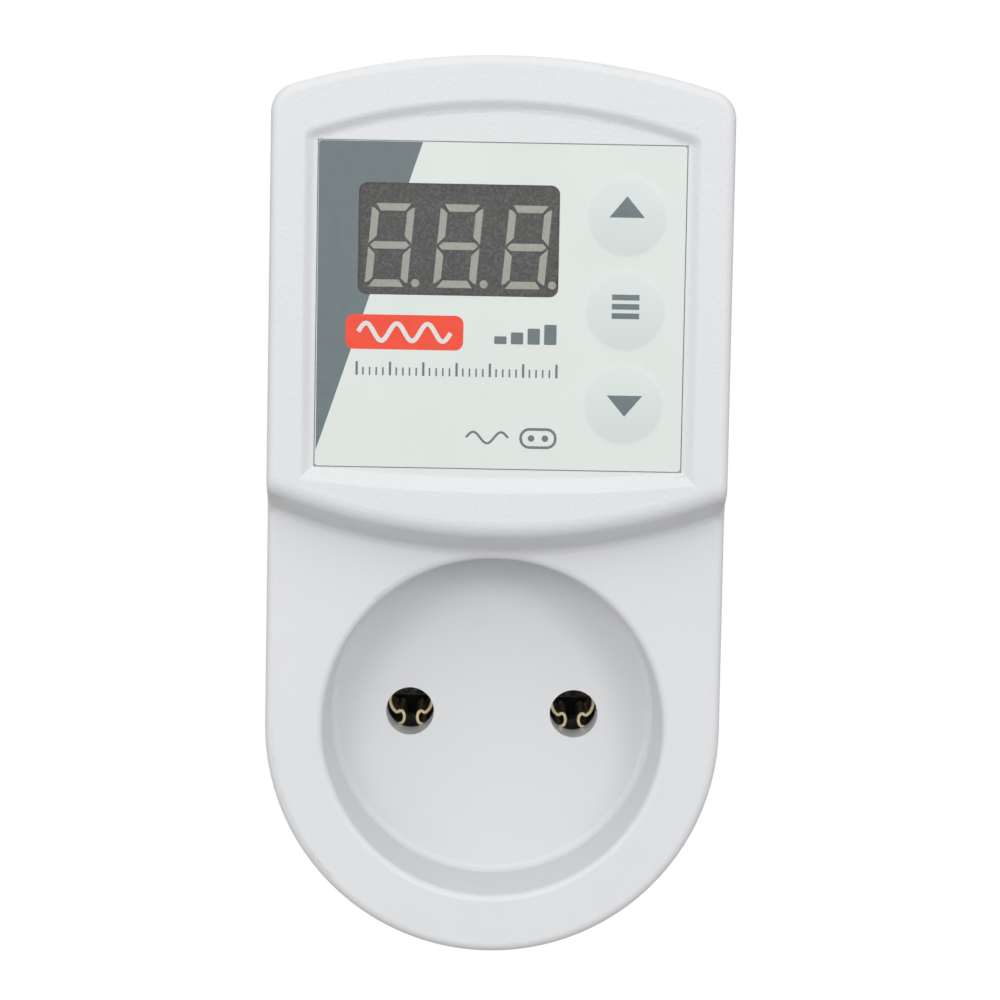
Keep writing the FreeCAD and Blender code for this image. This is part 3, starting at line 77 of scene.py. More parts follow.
class Look:
    """A procedural material on one Principled shader. Sizes are in metres of the object's own frame."""

    def __init__(self, name, colour, roughness, metallic=0.0, **sockets):
        self.material = bpy.data.materials.new(name)
        self.material.use_nodes = True
        self.tree = self.material.node_tree
        self.shader = self.tree.nodes["Principled BSDF"]
        self.shader.inputs["Base Color"].default_value = (*colour, 1.0)
        self.shader.inputs["Roughness"].default_value = roughness
        self.shader.inputs["Metallic"].default_value = metallic
        for socket, value in sockets.items():
            self.shader.inputs[socket.replace("_", " ")].default_value = value
        self.place = self.node("ShaderNodeTexCoord").outputs["Object"]
        self.colour = None
        self.base = colour
        self.normal = None

    def node(self, kind, **settings):
        made = self.tree.nodes.new(kind)
        for key, value in settings.items():
            setattr(made, key, value)
        return made

    def link(self, source, target):
        self.tree.links.new(source, target)

    def math(self, operation, first, second=0.0):
        made = self.node("ShaderNodeMath", operation=operation)
        for socket, value in zip(made.inputs, (first, second)):
            if isinstance(value, (int, float)):
                socket.default_value = value
            else:
                self.link(value, socket)
        return made.outputs[0]

    def stretched(self, stretch):
        scale = self.node("ShaderNodeVectorMath", operation="MULTIPLY")
        self.link(self.place, scale.inputs[0])
        scale.inputs[1].default_value = stretch
        return scale.outputs[0]

    def noise(self, size, detail=2.0, stretch=(1, 1, 1), seed=0.0):
        made = self.node("ShaderNodeTexNoise", noise_dimensions="4D")
        made.inputs["Scale"].default_value = 1.0 / size
        made.inputs["Detail"].default_value = detail
        made.inputs["W"].default_value = seed
        self.link(self.stretched(stretch), made.inputs["Vector"])
        return made.outputs["Fac"]

    def cells(self, size, feature="F1"):
        made = self.node("ShaderNodeTexVoronoi", feature=feature)
        made.inputs["Scale"].default_value = 1.0 / size
        self.link(self.place, made.inputs["Vector"])
        return made.outputs["Distance"]

    def lines(self, width, axis, distortion=0.0):
        made = self.node("ShaderNodeTexWave", wave_type="BANDS", bands_direction=axis)
        made.inputs["Scale"].default_value = pi / (10.0 * width)
        made.inputs["Distortion"].default_value = distortion
        self.link(self.place, made.inputs["Vector"])
        return made.outputs["Fac"]

    def steps(self, factor, low, high, start=0.0, end=1.0):
        made = self.node("ShaderNodeMapRange", interpolation_type="SMOOTHSTEP")
        self.link(factor, made.inputs["Value"])
        for socket, value in zip(("From Min", "From Max", "To Min", "To Max"), (low, high, start, end)):
            made.inputs[socket].default_value = value
        return made.outputs["Result"]

    def axis(self, letter):
        made = self.node("ShaderNodeSeparateXYZ")
        self.link(self.place, made.inputs[0])
        return made.outputs[letter]

    def tint(self, factor, colour):
        mix = self.node("ShaderNodeMix", data_type="RGBA")
        self.link(factor, mix.inputs["Factor"])
        if self.colour is None:
            mix.inputs["A"].default_value = (*self.base, 1.0)
        else:
            self.link(self.colour, mix.inputs["A"])
        mix.inputs["B"].default_value = (*colour, 1.0)
        self.colour = mix.outputs["Result"]
        self.link(self.colour, self.shader.inputs["Base Color"])
        return self

    def rough(self, factor, low, high):
        self.link(self.steps(factor, 0.25, 0.75, low, high), self.shader.inputs["Roughness"])
        return self

    def bump(self, factor, depth, strength=1.0):
        made = self.node("ShaderNodeBump")
        made.inputs["Distance"].default_value = depth
        if isinstance(strength, (int, float)):
            made.inputs["Strength"].default_value = strength
        else:
            self.link(strength, made.inputs["Strength"])
        self.link(factor, made.inputs["Height"])
        if self.normal is not None:
            self.link(self.normal, made.inputs["Normal"])
        self.normal = made.outputs["Normal"]
        self.link(self.normal, self.shader.inputs["Normal"])
        return self


def casing_look(name, hood_low, seat):
    """Moulded white ABS: spark grain, finer below the hood, faint flow marks, specks and handling marks."""
    look = Look(name, (0.735, 0.74, 0.75), 0.42, Specular_IOR_Level=0.42)
    look.tint(look.steps(look.noise(22 * MM, 3.0), 0.35, 0.7, 0.0, 0.5), (0.71, 0.718, 0.735))
    specks = look.steps(look.cells(5.2 * MM), 0.0, 0.02, 1.0, 0.0)
    patches = look.steps(look.noise(9 * MM), 0.55, 0.6)
    look.tint(look.math("MULTIPLY", specks, patches), (0.34, 0.33, 0.32))
    # Painted shade: the floor of the gap round the film is tinted dark where shade falls between film and
    # casing.
    look.tint(painted_gap_shade(look, *seat), (0.42, 0.43, 0.43))
    seam = look.math("ABSOLUTE", look.math("SUBTRACT", look.axis("Y"), PARTING))
    look.tint(look.steps(seam, 0.03 * MM, 0.1 * MM, 0.75, 0.0), (0.30, 0.30, 0.30))
    look.rough(look.noise(3.5 * MM, 4.0, seed=3.0), 0.36, 0.5)
    hood = look.steps(look.axis("Z"), hood_low - 1.5 * MM, hood_low + 1.5 * MM, 0.3, 1.0)
    look.bump(look.noise(0.42 * MM, 3.0, seed=1.0), 0.06 * MM, hood)
    look.bump(look.noise(14 * MM, 1.0, seed=5.0), 0.05 * MM)
    scratch = look.noise(1.2 * MM, 2.0, stretch=(0.08, 1.0, 1.0), seed=8.0)
    look.bump(look.steps(scratch, 0.70, 0.74), 0.004 * MM)
    return look.material


def painted_gap_shade(look, low, high):
    """1 on the narrow floor of the seat that shows round the film, where the gap is darkened with painted
    shade.
    """
    edge = 0.02 * MM
    mask = 1.0
    for letter, start, end in (("X", low.x, high.x), ("Y", low.y, high.y), ("Z", low.z, high.z)):
        place = look.axis(letter)
        mask = look.math("MULTIPLY", mask, look.steps(place, start - edge, start, 0.0, 1.0))
        mask = look.math("MULTIPLY", mask, look.steps(place, end, end + edge, 1.0, 0.0))
    return mask


# The last of these colours is painted shade inside the key discs.
FILM_INK, FILM_SHADE, KEY_PAINTED_SHADE = (0.712, 0.758, 0.725), (0.688, 0.737, 0.71), (0.655, 0.712, 0.694)


def satin_coat(look, speck):
    """The film's top coat, with the ink's fine print under it."""
    look.tint(look.steps(look.noise(0.18 * MM, 2.0, seed=2.0), 0.5, 0.8, 0.0, 0.18), speck)
    look.rough(look.noise(2.2 * MM, 3.0, seed=4.0), 0.30, 0.40)
    look.bump(look.noise(0.12 * MM, 1.0, seed=6.0), 0.0015 * MM)


def film_look(name):
    """Printed polyester film: satin top coat over an even ink, with faint waviness."""
    look = Look(name, FILM_INK, 0.34, Specular_IOR_Level=0.45)
    look.tint(look.steps(look.noise(9 * MM, 2.0), 0.35, 0.7, 0.0, 0.6), FILM_SHADE)
    satin_coat(look, (0.62, 0.68, 0.65))
    look.bump(look.noise(6 * MM, 1.0, seed=7.0), 0.012 * MM)
    return look.material


def key_look(name, centre):
    """The film over a key: the same ink, with painted shade that makes the disc a little darker and cooler.
    """
    look = Look(name, FILM_INK, 0.34, Specular_IOR_Level=0.45)
    away = look.node("ShaderNodeVectorMath", operation="DISTANCE")
    look.link(look.place, away.inputs[0])
    away.inputs[1].default_value = centre
    # Painted shade: the disc is tinted darker and cooler, standing in for the shade that falls on the shallow
    # dome.
    look.tint(look.steps(away.outputs["Value"], 4.0 * MM, 4.6 * MM, 1.0, 0.0), KEY_PAINTED_SHADE)
    satin_coat(look, (0.60, 0.66, 0.64))
    return look.material


def ink_look(name, colour, dark):
    """Screen-printed ink: solid colour with a fine mesh print and small pinholes."""
    look = Look(name, colour, 0.38, Specular_IOR_Level=0.4)
    look.tint(look.steps(look.noise(1.1 * MM, 3.0), 0.35, 0.75, 0.0, 0.55), dark)
    look.tint(look.steps(look.cells(0.16 * MM), 0.0, 0.35, 0.22, 0.0), tuple(c * 1.25 for c in colour))
    look.rough(look.noise(0.9 * MM, 2.0, seed=2.0), 0.33, 0.45)
    look.bump(look.noise(0.1 * MM, 1.0, seed=5.0), 0.0015 * MM)
    return look.material


def plastic_look(name, colour, dark, roughness=0.45, grain=0.25 * MM):
    """A plain moulding: faint blotches and a fine grain."""
    look = Look(name, colour, roughness, Specular_IOR_Level=0.45)
    look.tint(look.steps(look.noise(4 * MM, 4.0), 0.35, 0.7, 0.0, 0.7), dark)
    look.rough(look.noise(1.5 * MM, 3.0, seed=2.0), roughness - 0.07, roughness + 0.08)
    look.bump(look.noise(grain, 2.0, seed=4.0), 0.008 * MM)
    return look.material


def metal_look(name, colour, dark, roughness=0.28, brush="Z", brushed=0.06 * MM):
    """Drawn or stamped metal: fine draw lines, dull patches of tarnish, small dents."""
    look = Look(name, colour, roughness, metallic=1.0)
    look.tint(look.steps(look.noise(2.4 * MM, 4.0), 0.45, 0.75, 0.0, 0.8), dark)
    look.rough(look.noise(0.9 * MM, 3.0, seed=2.0), roughness - 0.08, roughness + 0.14)
    look.bump(look.lines(brushed, brush, 2.0), 0.0012 * MM)
    look.bump(look.noise(1.3 * MM, 2.0, seed=4.0), 0.006 * MM)
    return look.material


def board_look():
    """Glass-epoxy board: green mask over a web of tracks, with the weave just showing."""
    weave = 0.35 * MM
    look = Look("board_green", (0.028, 0.16, 0.075), 0.36, Coat_Weight=0.25, Coat_Roughness=0.2)
    tracks = look.steps(look.cells(2.6 * MM, feature="DISTANCE_TO_EDGE"), 0.05, 0.09, 1.0, 0.0)
    look.tint(tracks, (0.06, 0.25, 0.11))
    look.tint(look.steps(look.lines(weave, "X"), 0.6, 0.9, 0.0, 0.16), (0.10, 0.26, 0.14))
    look.tint(look.steps(look.lines(weave, "Z"), 0.6, 0.9, 0.0, 0.16), (0.02, 0.12, 0.06))
    look.rough(look.noise(1.6 * MM, 3.0), 0.28, 0.45)
    look.bump(tracks, 0.02 * MM)
    look.bump(look.lines(weave, "X"), 0.004 * MM)
    return look.material


def winding_look():
    """Enamelled copper wire laid turn by turn."""
    look = Look("winding_copper", (0.72, 0.26, 0.10), 0.24, metallic=1.0, Coat_Weight=0.6)
    look.tint(look.steps(look.noise(1.6 * MM, 3.0), 0.4, 0.75), (0.50, 0.15, 0.06))
    look.rough(look.noise(0.8 * MM, 2.0, seed=2.0), 0.18, 0.34)
    look.bump(look.lines(0.12 * MM, "Z"), 0.04 * MM)
    return look.material


def window_look():
    """The clear part of the film over the display, with its faint satin."""
    look = Look("window_clear", (0.97, 0.975, 0.97), 0.02, IOR=1.45, Transmission_Weight=1.0)
    look.rough(look.noise(3.0 * MM, 3.0), 0.010, 0.022)
    look.bump(look.noise(0.2 * MM, 1.0, seed=3.0), 0.0006 * MM)
    return look.material


def display_look():
    """The display's epoxy face: dark grey, finely mottled and matt."""
    look = Look("display_face", (0.056, 0.055, 0.053), 0.5, Specular_IOR_Level=0.4)
    look.tint(look.steps(look.noise(0.26 * MM, 4.0), 0.40, 0.70, 0.0, 0.85), (0.16, 0.156, 0.145))
    look.rough(look.noise(1.2 * MM, 3.0, seed=2.0), 0.42, 0.58)
    look.bump(look.noise(0.15 * MM, 2.0, seed=4.0), 0.012 * MM)
    return look.material


def segment_look():
    """Unlit display segments: milky beige resin over its light pipe, with a fine streak."""
    look = Look("segment_resin", (0.60, 0.585, 0.51), 0.42, Specular_IOR_Level=0.45)
    look.tint(look.steps(look.noise(0.3 * MM, 3.0), 0.4, 0.68, 0.0, 0.8), (0.50, 0.48, 0.41))
    look.rough(look.noise(0.6 * MM, 2.0, seed=2.0), 0.36, 0.5)
    look.bump(look.noise(0.12 * MM, 2.0, seed=4.0), 0.006 * MM)
    return look.material


def make_looks(hood_low, seat):
    """Every finish by its slot in the record."""
    return {
        "casing": casing_look("casing_abs", hood_low, seat),
        "film": film_look("film_print"),
        "window": window_look(),
        "display": display_look(),
        "segments": segment_look(),
        "tin": metal_look("tin_plate", (0.72, 0.72, 0.70), (0.55, 0.55, 0.53), 0.32),
        "board": board_look(),
        "black": plastic_look("black_epoxy", (0.022, 0.022, 0.024), (0.04, 0.04, 0.043), 0.5),
        "plunger": plastic_look("plunger_nylon", (0.05, 0.05, 0.052), (0.08, 0.08, 0.08), 0.4),
        "steel": metal_look("soft_steel", (0.56, 0.56, 0.56), (0.40, 0.39, 0.38), 0.35),
        "screw": metal_look("zinc_screw", (0.66, 0.66, 0.62), (0.48, 0.47, 0.42), 0.33, "X"),
        "relay_case": plastic_look("relay_blue", (0.03, 0.085, 0.30), (0.02, 0.06, 0.22), 0.35),
        "bobbin": plastic_look("bobbin_nylon", (0.62, 0.60, 0.52), (0.52, 0.49, 0.40), 0.4),
        "copper": winding_look(),
        "bronze": metal_look("spring_bronze", (0.72, 0.44, 0.22), (0.56, 0.32, 0.14), 0.28),
        "yellow": plastic_look("capacitor_yellow", (0.74, 0.52, 0.06), (0.62, 0.41, 0.04), 0.38),
        "blue": plastic_look("varistor_blue", (0.03, 0.13, 0.42), (0.02, 0.09, 0.30), 0.3, 0.5 * MM),
        "resistor": plastic_look("resistor_lacquer", (0.42, 0.33, 0.22), (0.32, 0.24, 0.15), 0.35),
        "pin_metal": metal_look("nickel_pin", (0.74, 0.73, 0.70), (0.60, 0.57, 0.50), 0.2, "Y"),
        "brass": metal_look("contact_brass", (0.80, 0.68, 0.44), (0.50, 0.37, 0.18), 0.34, "Z", 0.2 * MM),
        "insulator": plastic_look("insulator_grey", (0.46, 0.46, 0.44), (0.36, 0.36, 0.34), 0.5),
        "wire": plastic_look("wire_pvc", (0.42, 0.05, 0.04), (0.30, 0.03, 0.03), 0.4),
    }


def dress_nodes(looks):
    """Give every carried-over node the finish of its slot."""
    for entry in frame["record"]["subparts"]:
        node = frame["nodes"][entry["node"]]
        node.material_slots[0].link = "OBJECT"
        node.material_slots[0].material = looks[entry["material_slot"]]


# ---------------------------------------------------------------- pieces

def finish_piece(name, bm, material, body=CASING, smooth=True):
    """Turn the mesh into a named piece that rides on a body."""
    bmesh.ops.recalc_face_normals(bm, faces=bm.faces)
    mesh = bpy.data.meshes.new(name)
    bm.to_mesh(mesh)
    bm.free()
    for polygon in mesh.polygons:
        polygon.use_smooth = smooth
    piece = bpy.data.objects.new(name, mesh)
    bpy.context.scene.collection.objects.link(piece)
    piece.data.materials.append(material)
    if body is not None:
        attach(piece, body)
    return piece


def add_plate(bm, outline, front, back):
    """A thin flat plate: the outline, as (x, z) points, between two depths along Y."""
    fronts = [bm.verts.new((x, front, z)) for x, z in outline]
    backs = [bm.verts.new((x, back, z)) for x, z in outline]
    bm.faces.new(fronts)
    bm.faces.new(backs[::-1])
    count = len(outline)
    for i in range(count):
        j = (i + 1) % count
        bm.faces.new((fronts[i], backs[i], backs[j], fronts[j]))


def add_strip(bm, line, width, front, back, closed=False):
    """A band of constant width along a line of (x, z) points, between two depths along Y."""
    count = len(line)
    left, right = [], []
    for i, (x, z) in enumerate(line):
        before = line[(i - 1) % count] if closed or i else line[i]
        after = line[(i + 1) % count] if closed or i < count - 1 else line[i]
        along = Vector((after[0] - before[0], after[1] - before[1])).normalized()
        side = Vector((-along.y, along.x)) * width / 2
        left.append((x + side.x, z + side.y))
        right.append((x - side.x, z - side.y))
    rings = [[bm.verts.new(p) for p in ((lx, front, lz), (rx, front, rz), (rx, back, rz), (lx, back, lz))]
             for (lx, lz), (rx, rz) in zip(left, right)]
    spans = count if closed else count - 1
    for i in range(spans):
        a, b = rings[i], rings[(i + 1) % count]
        for k in range(4):
            bm.faces.new((a[k], a[(k + 1) % 4], b[(k + 1) % 4], b[k]))
    if not closed:
        bm.faces.new(rings[0][::-1])
        bm.faces.new(rings[-1])


def block_outline(left, low, right, high, corner, steps=6):
    """A rounded rectangle as (x, z) points."""
    points = []
    for cx, cz, start in ((right - corner, high - corner, 0), (left + corner, high - corner, 1),
                          (left + corner, low + corner, 2), (right - corner, low + corner, 3)):
        for i in range(steps + 1):
            turn = (start + i / steps) * pi / 2
            points.append((cx + corner * cos(turn), cz + corner * sin(turn)))
    return points


def disc_outline(x, z, radius, steps=28):
    """A circle as (x, z) points."""
    turns = [2 * pi * i / steps for i in range(steps)]
    return [(x + radius * cos(turn), z + radius * sin(turn)) for turn in turns]


def corner_arc(x, y, radius, start, end, steps=9):
    """Points round a corner, between two angles in degrees."""
    turns = [radians(start + (end - start) * i / steps) for i in range(steps + 1)]
    return [(x + radius * cos(turn), y + radius * sin(turn)) for turn in turns]


def wave_line(left, middle, right, height, cycles, steps=20):
    """A sine wave as (x, z) points."""
    count = int(cycles * steps)
    return [(left + (right - left) * i / count, middle + height * sin(2 * pi * cycles * i / count))
            for i in range(count + 1)]


def smooth_line(points, steps=7):
    """A Catmull-Rom line through the points."""
    ends = [points[0], *points, points[-1]]
    line = []
    for i in range(1, len(ends) - 2):
        p0, p1, p2, p3 = (Vector(ends[i + k]) for k in (-1, 0, 1, 2))
        for step in range(steps):
            t = step / steps
            line.append(tuple(0.5 * (2 * p1 + (p2 - p0) * t + (2 * p0 - 5 * p1 + 4 * p2 - p3) * t * t
                                     + (3 * p1 - p0 - 3 * p2 + p3) * t ** 3)))
    line.append(tuple(points[-1]))
    return line


class Print:
    """Printing on the film. Places are in millimetres from the film's left edge and down from its top."""

    DEPTH = 0.010 * MM  # into the film
    PROUD = 0.008 * MM  # one layer of ink above it
    EDGE, EDGE_CORNER = 0.03, 0.4
    PANEL_REACH, PANEL_DROP, PANEL_STOP = 11.36, 34.2, 0.3
    WINDOW_CORNER = 1.0
    BADGE, BADGE_CORNER = (3.2, 18.9, 16.1, 22.7), 0.9
    BADGE_WAVE, BADGE_WAVE_HEIGHT, BADGE_WAVE_WIDTH = (4.6, 14.7, 20.8), 0.95, 0.5
    BARS, BAR_PITCH, BAR_WIDTH, BAR_CORNER = 4, 1.82, 1.35, 0.12
    BARS_LEFT, BARS_FOOT, BAR_LEAST, BAR_STEP = 19.5, 21.9, 0.85, 0.45
    TICKS, TICK_PITCH, TICK_CORNER, TICKS_LEFT, TICKS_FOOT = 31, 0.73, 0.05, 4.35, 25.55
    LONG_TICK, SHORT_TICK = (24.05, 0.26), (24.65, 0.18)
    SIGN_WAVE, SIGN_WAVE_HEIGHT, SIGN_WAVE_WIDTH = (16.6, 21.2, 32.2), 0.62, 0.26
    SIGN, SIGN_CORNER, SIGN_WIDTH, SIGN_PIN = (22.6, 31.2, 26.4, 33.2), 0.95, 0.3, 0.36

    def __init__(self):
        self.low, self.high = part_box("overlay_film")
        self.front = self.low.y - self.PROUD
        self.back = self.low.y + self.DEPTH

    def at(self, right, down):
        return self.low.x + right * MM, self.high.z - down * MM

    def block(self, bm, left, top, right, bottom, corner, layer=0):
        x0, z1 = self.at(left, top)
        x1, z0 = self.at(right, bottom)
        front = self.front - layer * self.PROUD
        add_plate(bm, block_outline(x0, z0, x1, z1, corner * MM), front, self.back)

    def wave(self, bm, span, height, width, cycles, layer=0):
        start, end, down = span
        left, middle = self.at(start, down)
        right = self.at(end, down)[0]
        line = wave_line(left, middle, right, height * MM, cycles)
        add_strip(bm, line, width * MM, self.front - layer * self.PROUD, self.back)

    def wedge(self, ink):
        """The dark corner panel. Its slanting side runs from the film's top edge to its left edge, and the
        panel stops at the window."""
        low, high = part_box("overlay_window")
        top, bottom = (self.high.z - high.z) / MM, (self.high.z - low.z) / MM
        inner = (low.x - self.low.x) / MM + self.WINDOW_CORNER
        outer = self.EDGE + self.EDGE_CORNER
        points = corner_arc(outer, outer, self.EDGE_CORNER, 180, 270)
        points += [self.slant(down) for down in (self.EDGE, top)]
        points += corner_arc(inner, top + self.WINDOW_CORNER, self.WINDOW_CORNER, 270, 180)
        points += corner_arc(inner, bottom - self.WINDOW_CORNER, self.WINDOW_CORNER, 180, 90)
        points += [self.slant(down) for down in (bottom, self.PANEL_DROP - self.PANEL_STOP)]
        bm = bmesh.new()
        add_plate(bm, [self.at(*point) for point in points], self.front, self.back)
        finish_piece("print_corner_panel", bm, ink, smooth=False)

    def slant(self, down):
        """The point of the corner panel's slanting side at a height."""
        return self.PANEL_REACH * (1 - down / self.PANEL_DROP), down

    def label(self, ink, mark_ink):
        """A plain red block with an alternating-current wave on it."""
        bm = bmesh.new()
        self.block(bm, *self.BADGE, self.BADGE_CORNER, layer=1)
        finish_piece("print_red_block", bm, ink, smooth=False)
        bm = bmesh.new()
        self.wave(bm, self.BADGE_WAVE, self.BADGE_WAVE_HEIGHT, self.BADGE_WAVE_WIDTH, 3, layer=2)
        finish_piece("print_wave", bm, mark_ink, smooth=False)

    def level_bars(self, ink):
        """Four rising bars."""
        bm = bmesh.new()
        for i in range(self.BARS):
            left = self.BARS_LEFT + self.BAR_PITCH * i
            top = self.BARS_FOOT - self.BAR_LEAST - self.BAR_STEP * i
            self.block(bm, left, top, left + self.BAR_WIDTH, self.BARS_FOOT, self.BAR_CORNER)
        finish_piece("print_level_bars", bm, ink, smooth=False)

    def scale(self, ink):
        """A ruler of fine ticks, every fifth one full height."""
        bm = bmesh.new()
        for i in range(self.TICKS):
            left = self.TICKS_LEFT + self.TICK_PITCH * i
            top, width = self.LONG_TICK if i % 5 == 0 else self.SHORT_TICK
            self.block(bm, left, top, left + width, self.TICKS_FOOT, self.TICK_CORNER)
        finish_piece("print_scale", bm, ink, smooth=False)

    def socket_sign(self, ink):
        """A wave and a two-pin socket sign."""
        bm = bmesh.new()
        self.wave(bm, self.SIGN_WAVE, self.SIGN_WAVE_HEIGHT, self.SIGN_WAVE_WIDTH, 1.5)
        left, top, right, bottom = self.SIGN
        x0, z0 = self.at(left, bottom)
        x1, z1 = self.at(right, top)
        ring = block_outline(x0, z0, x1, z1, self.SIGN_CORNER * MM)
        add_strip(bm, ring, self.SIGN_WIDTH * MM, self.front, self.back, closed=True)
        for share in (0.3, 0.7):
            dot = disc_outline(x0 + (x1 - x0) * share, (z0 + z1) / 2, self.SIGN_PIN * MM)
            add_plate(bm, dot, self.front, self.back)
        finish_piece("print_socket_sign", bm, ink, smooth=False)


SEGMENT_WIDTH, SEGMENT_GAP, SEGMENT_TIP, SEGMENT_PROUD = 0.80 * MM, 0.2 * MM, 0.22 * MM, 0.015 * MM
DIGIT_HALF, DIGIT_TALL = 2.34 * MM, 4.56 * MM  # half a digit's width and half its height
DIGIT_SLANT = 0.085
DIGIT_PITCH, DIGITS = 7.5 * MM, 3
POINT_ASIDE, POINT_RISE, POINT_RADIUS = 0.5 * MM, 0.45 * MM, 0.44 * MM


def digit_segments():
    """The seven segments of one digit as (x, z) outlines, with mitred ends and a gap between them."""
    w, h, s, g, tip = DIGIT_HALF, DIGIT_TALL, SEGMENT_WIDTH, SEGMENT_GAP, SEGMENT_TIP
    top = [(-w + g + tip, h), (w - g - tip, h), (w - s - g, h - s), (-w + s + g, h - s)]
    side = [(-w, h - g - tip), (-w + s / 2, h - s / 2 - g), (-w + s, h - s - g), (-w + s, s + g), (-w, g)]
    middle = [(-w + g, 0), (-w + g + s / 2, s / 2), (w - g - s / 2, s / 2), (w - g, 0),
              (w - g - s / 2, -s / 2), (-w + g + s / 2, -s / 2)]
    turned = [top, side, [(-x, z) for x, z in side], middle]
    turned += [[(x, -z) for x, z in shape] for shape in (top, side)]
    return turned + [[(-x, -z) for x, z in side]]


def make_segments(resin):
    """The display's unlit segments and decimal points, standing in for the plain ones."""
    low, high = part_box("display_segments")
    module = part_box("display_module")
    centre = (module[0] + module[1]) / 2
    front = low.y - SEGMENT_PROUD
    bm = bmesh.new()
    for place in range(DIGITS):
        middle = centre.x + (place - (DIGITS - 1) / 2) * DIGIT_PITCH
        for shape in digit_segments():
            add_plate(bm, [(middle + x + DIGIT_SLANT * z, centre.z + z) for x, z in shape], front, high.y)
        x, z = middle + DIGIT_HALF + POINT_ASIDE, centre.z - DIGIT_TALL + POINT_RISE
        add_plate(bm, disc_outline(x, z, POINT_RADIUS), front, high.y)
    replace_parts(finish_piece("display_digits", bm, resin, smooth=False), "display_segments")


KEY_DOME, KEY_FOOT = 4.35 * MM, 4.9 * MM
KEY_RISE, KEY_LIP, KEY_EASE = 0.29 * MM, 0.02 * MM, 0.35 * MM
SKIN_THICKNESS, SKIN_SUNK = 0.10 * MM, 0.006 * MM
SIGN_PROUD, SIGN_DEPTH = 0.008 * MM, 0.04 * MM


def key_height(radius):
    """How far a key's shallow dome stands above the film at a distance from its centre."""
    dome = max(0.0, 1 - (radius / KEY_DOME) ** 2) * (KEY_RISE - KEY_LIP)
    share = min(max((KEY_FOOT - radius) / (KEY_FOOT - KEY_DOME + KEY_EASE), 0.0), 1.0)
    return dome + KEY_LIP * share * share * (3 - 2 * share)


def key_skin(name, look, rings=34, around=96):
    """The embossed film over one key: a fixed shallow dome over the key's plunger, meeting the casing's film
    at its edge.
    """
    centre, film_front = key_place(name)
    bm = bmesh.new()
    skins = []
    for under in (False, True):
        drop = SKIN_THICKNESS if under else 0.0
        middle = bm.verts.new((centre.x, film_front - key_height(0.0) + drop, centre.z))
        loops = []
        for ring in range(1, rings + 1):
            radius = KEY_FOOT * ring / rings
            y = film_front - key_height(radius) + drop * min(1.0, 3 * (1 - ring / rings))
            if ring == rings:
                y = film_front + (2 * SKIN_SUNK if under else SKIN_SUNK)
            loops.append([bm.verts.new((centre.x + radius * cos(2 * pi * k / around), y,
                                        centre.z + radius * sin(2 * pi * k / around)))
                          for k in range(around)])
        skins.append((middle, loops))
    for middle, loops in skins:
        for k in range(around):
            n = (k + 1) % around
            bm.faces.new((middle, loops[0][k], loops[0][n]))
            for a, b in zip(loops, loops[1:]):
                bm.faces.new((a[k], b[k], b[n], a[n]))
    top, bottom = skins[0][1][-1], skins[1][1][-1]
    for k in range(around):
        n = (k + 1) % around
        bm.faces.new((top[k], bottom[k], bottom[n], top[n]))
    skin = finish_piece(f"{name}_skin", bm, look, body=None)
    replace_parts(skin, f"{name}_dome")
    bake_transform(skin)


def key_place(name):
    """The centre of a key, and the film's front face."""
    low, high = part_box(f"{name}_dome")
    return (low + high) / 2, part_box("overlay_film")[0].y


def key_sign(name, shapes, ink):
    """The sign printed on a key: bands from one (z, left, right) row to the next, draped on the dome."""
    centre, film_front = key_place(name)
    columns, rows = 14, 10
    bm = bmesh.new()
    for (z0, left0, right0), (z1, left1, right1) in shapes:
        sheets = []
        for lift in (-SIGN_PROUD, SIGN_DEPTH):
            sheet = []
            for row in range(rows + 1):
                t = row / rows
                z, left, right = (a + (b - a) * t for a, b in ((z0, z1), (left0, left1), (right0, right1)))
                places = [((left + (right - left) * k / columns) * MM, z * MM) for k in range(columns + 1)]
                depths = [film_front - key_height((x * x + z * z) ** 0.5) + lift for x, z in places]
                sheet.append([bm.verts.new((centre.x + x, depth, centre.z + z))
                              for (x, z), depth in zip(places, depths)])
            sheets.append(sheet)
        close_sheets(bm, *sheets)
    finish_piece(f"{name}_sign", bm, ink, body=name, smooth=False)


def close_sheets(bm, front, back):
    """Add the faces of two grids of vertices and of the wall round their border."""
    rows, columns = len(front) - 1, len(front[0]) - 1
    for sheet in (front, back):
        for r in range(rows):
            for c in range(columns):
                bm.faces.new((sheet[r][c], sheet[r][c + 1], sheet[r + 1][c + 1], sheet[r + 1][c]))
    border = [(0, c) for c in range(columns)] + [(r, columns) for r in range(rows)]
    border += [(rows, c) for c in range(columns, 0, -1)] + [(r, 0) for r in range(rows, 0, -1)]
    for (r0, c0), (r1, c1) in zip(border, border[1:] + border[:1]):
        bm.faces.new((front[r0][c0], front[r1][c1], back[r1][c1], back[r0][c0]))


KEY_SIGNS = {
    "key_up": [((-0.10, -1.98, 1.92), (2.23, -0.06, -0.04))],
    "key_menu": [((low, -1.5, 1.5), (low + 0.62, -1.5, 1.5)) for low in (-0.85, 0.17, 1.19)],
    "key_down": [((-1.25, 0.08, 0.10), (1.05, -1.86, 2.04))],
}


def make_keys(ink):
    for name, shapes in KEY_SIGNS.items():
        centre, film_front = key_place(name)
        key_skin(name, key_look(f"{name}_film", (centre.x, film_front, centre.z)))
        key_sign(name, shapes, ink)


# One leaf's folded profile: millimetres out from the pin's axis and up from it.
LEAF = ((0.25, 2.62), (1.4, 2.3), (2.28, 1.3), (2.46, 0.25), (2.16, -0.62), (1.66, -1.08), (1.3, -0.92),
        (0.98, -1.0), (0.78, -1.45), (0.82, -2.0), (1.12, -2.38), (1.9, -2.52))
LEAF_THICKNESS = 0.34 * MM


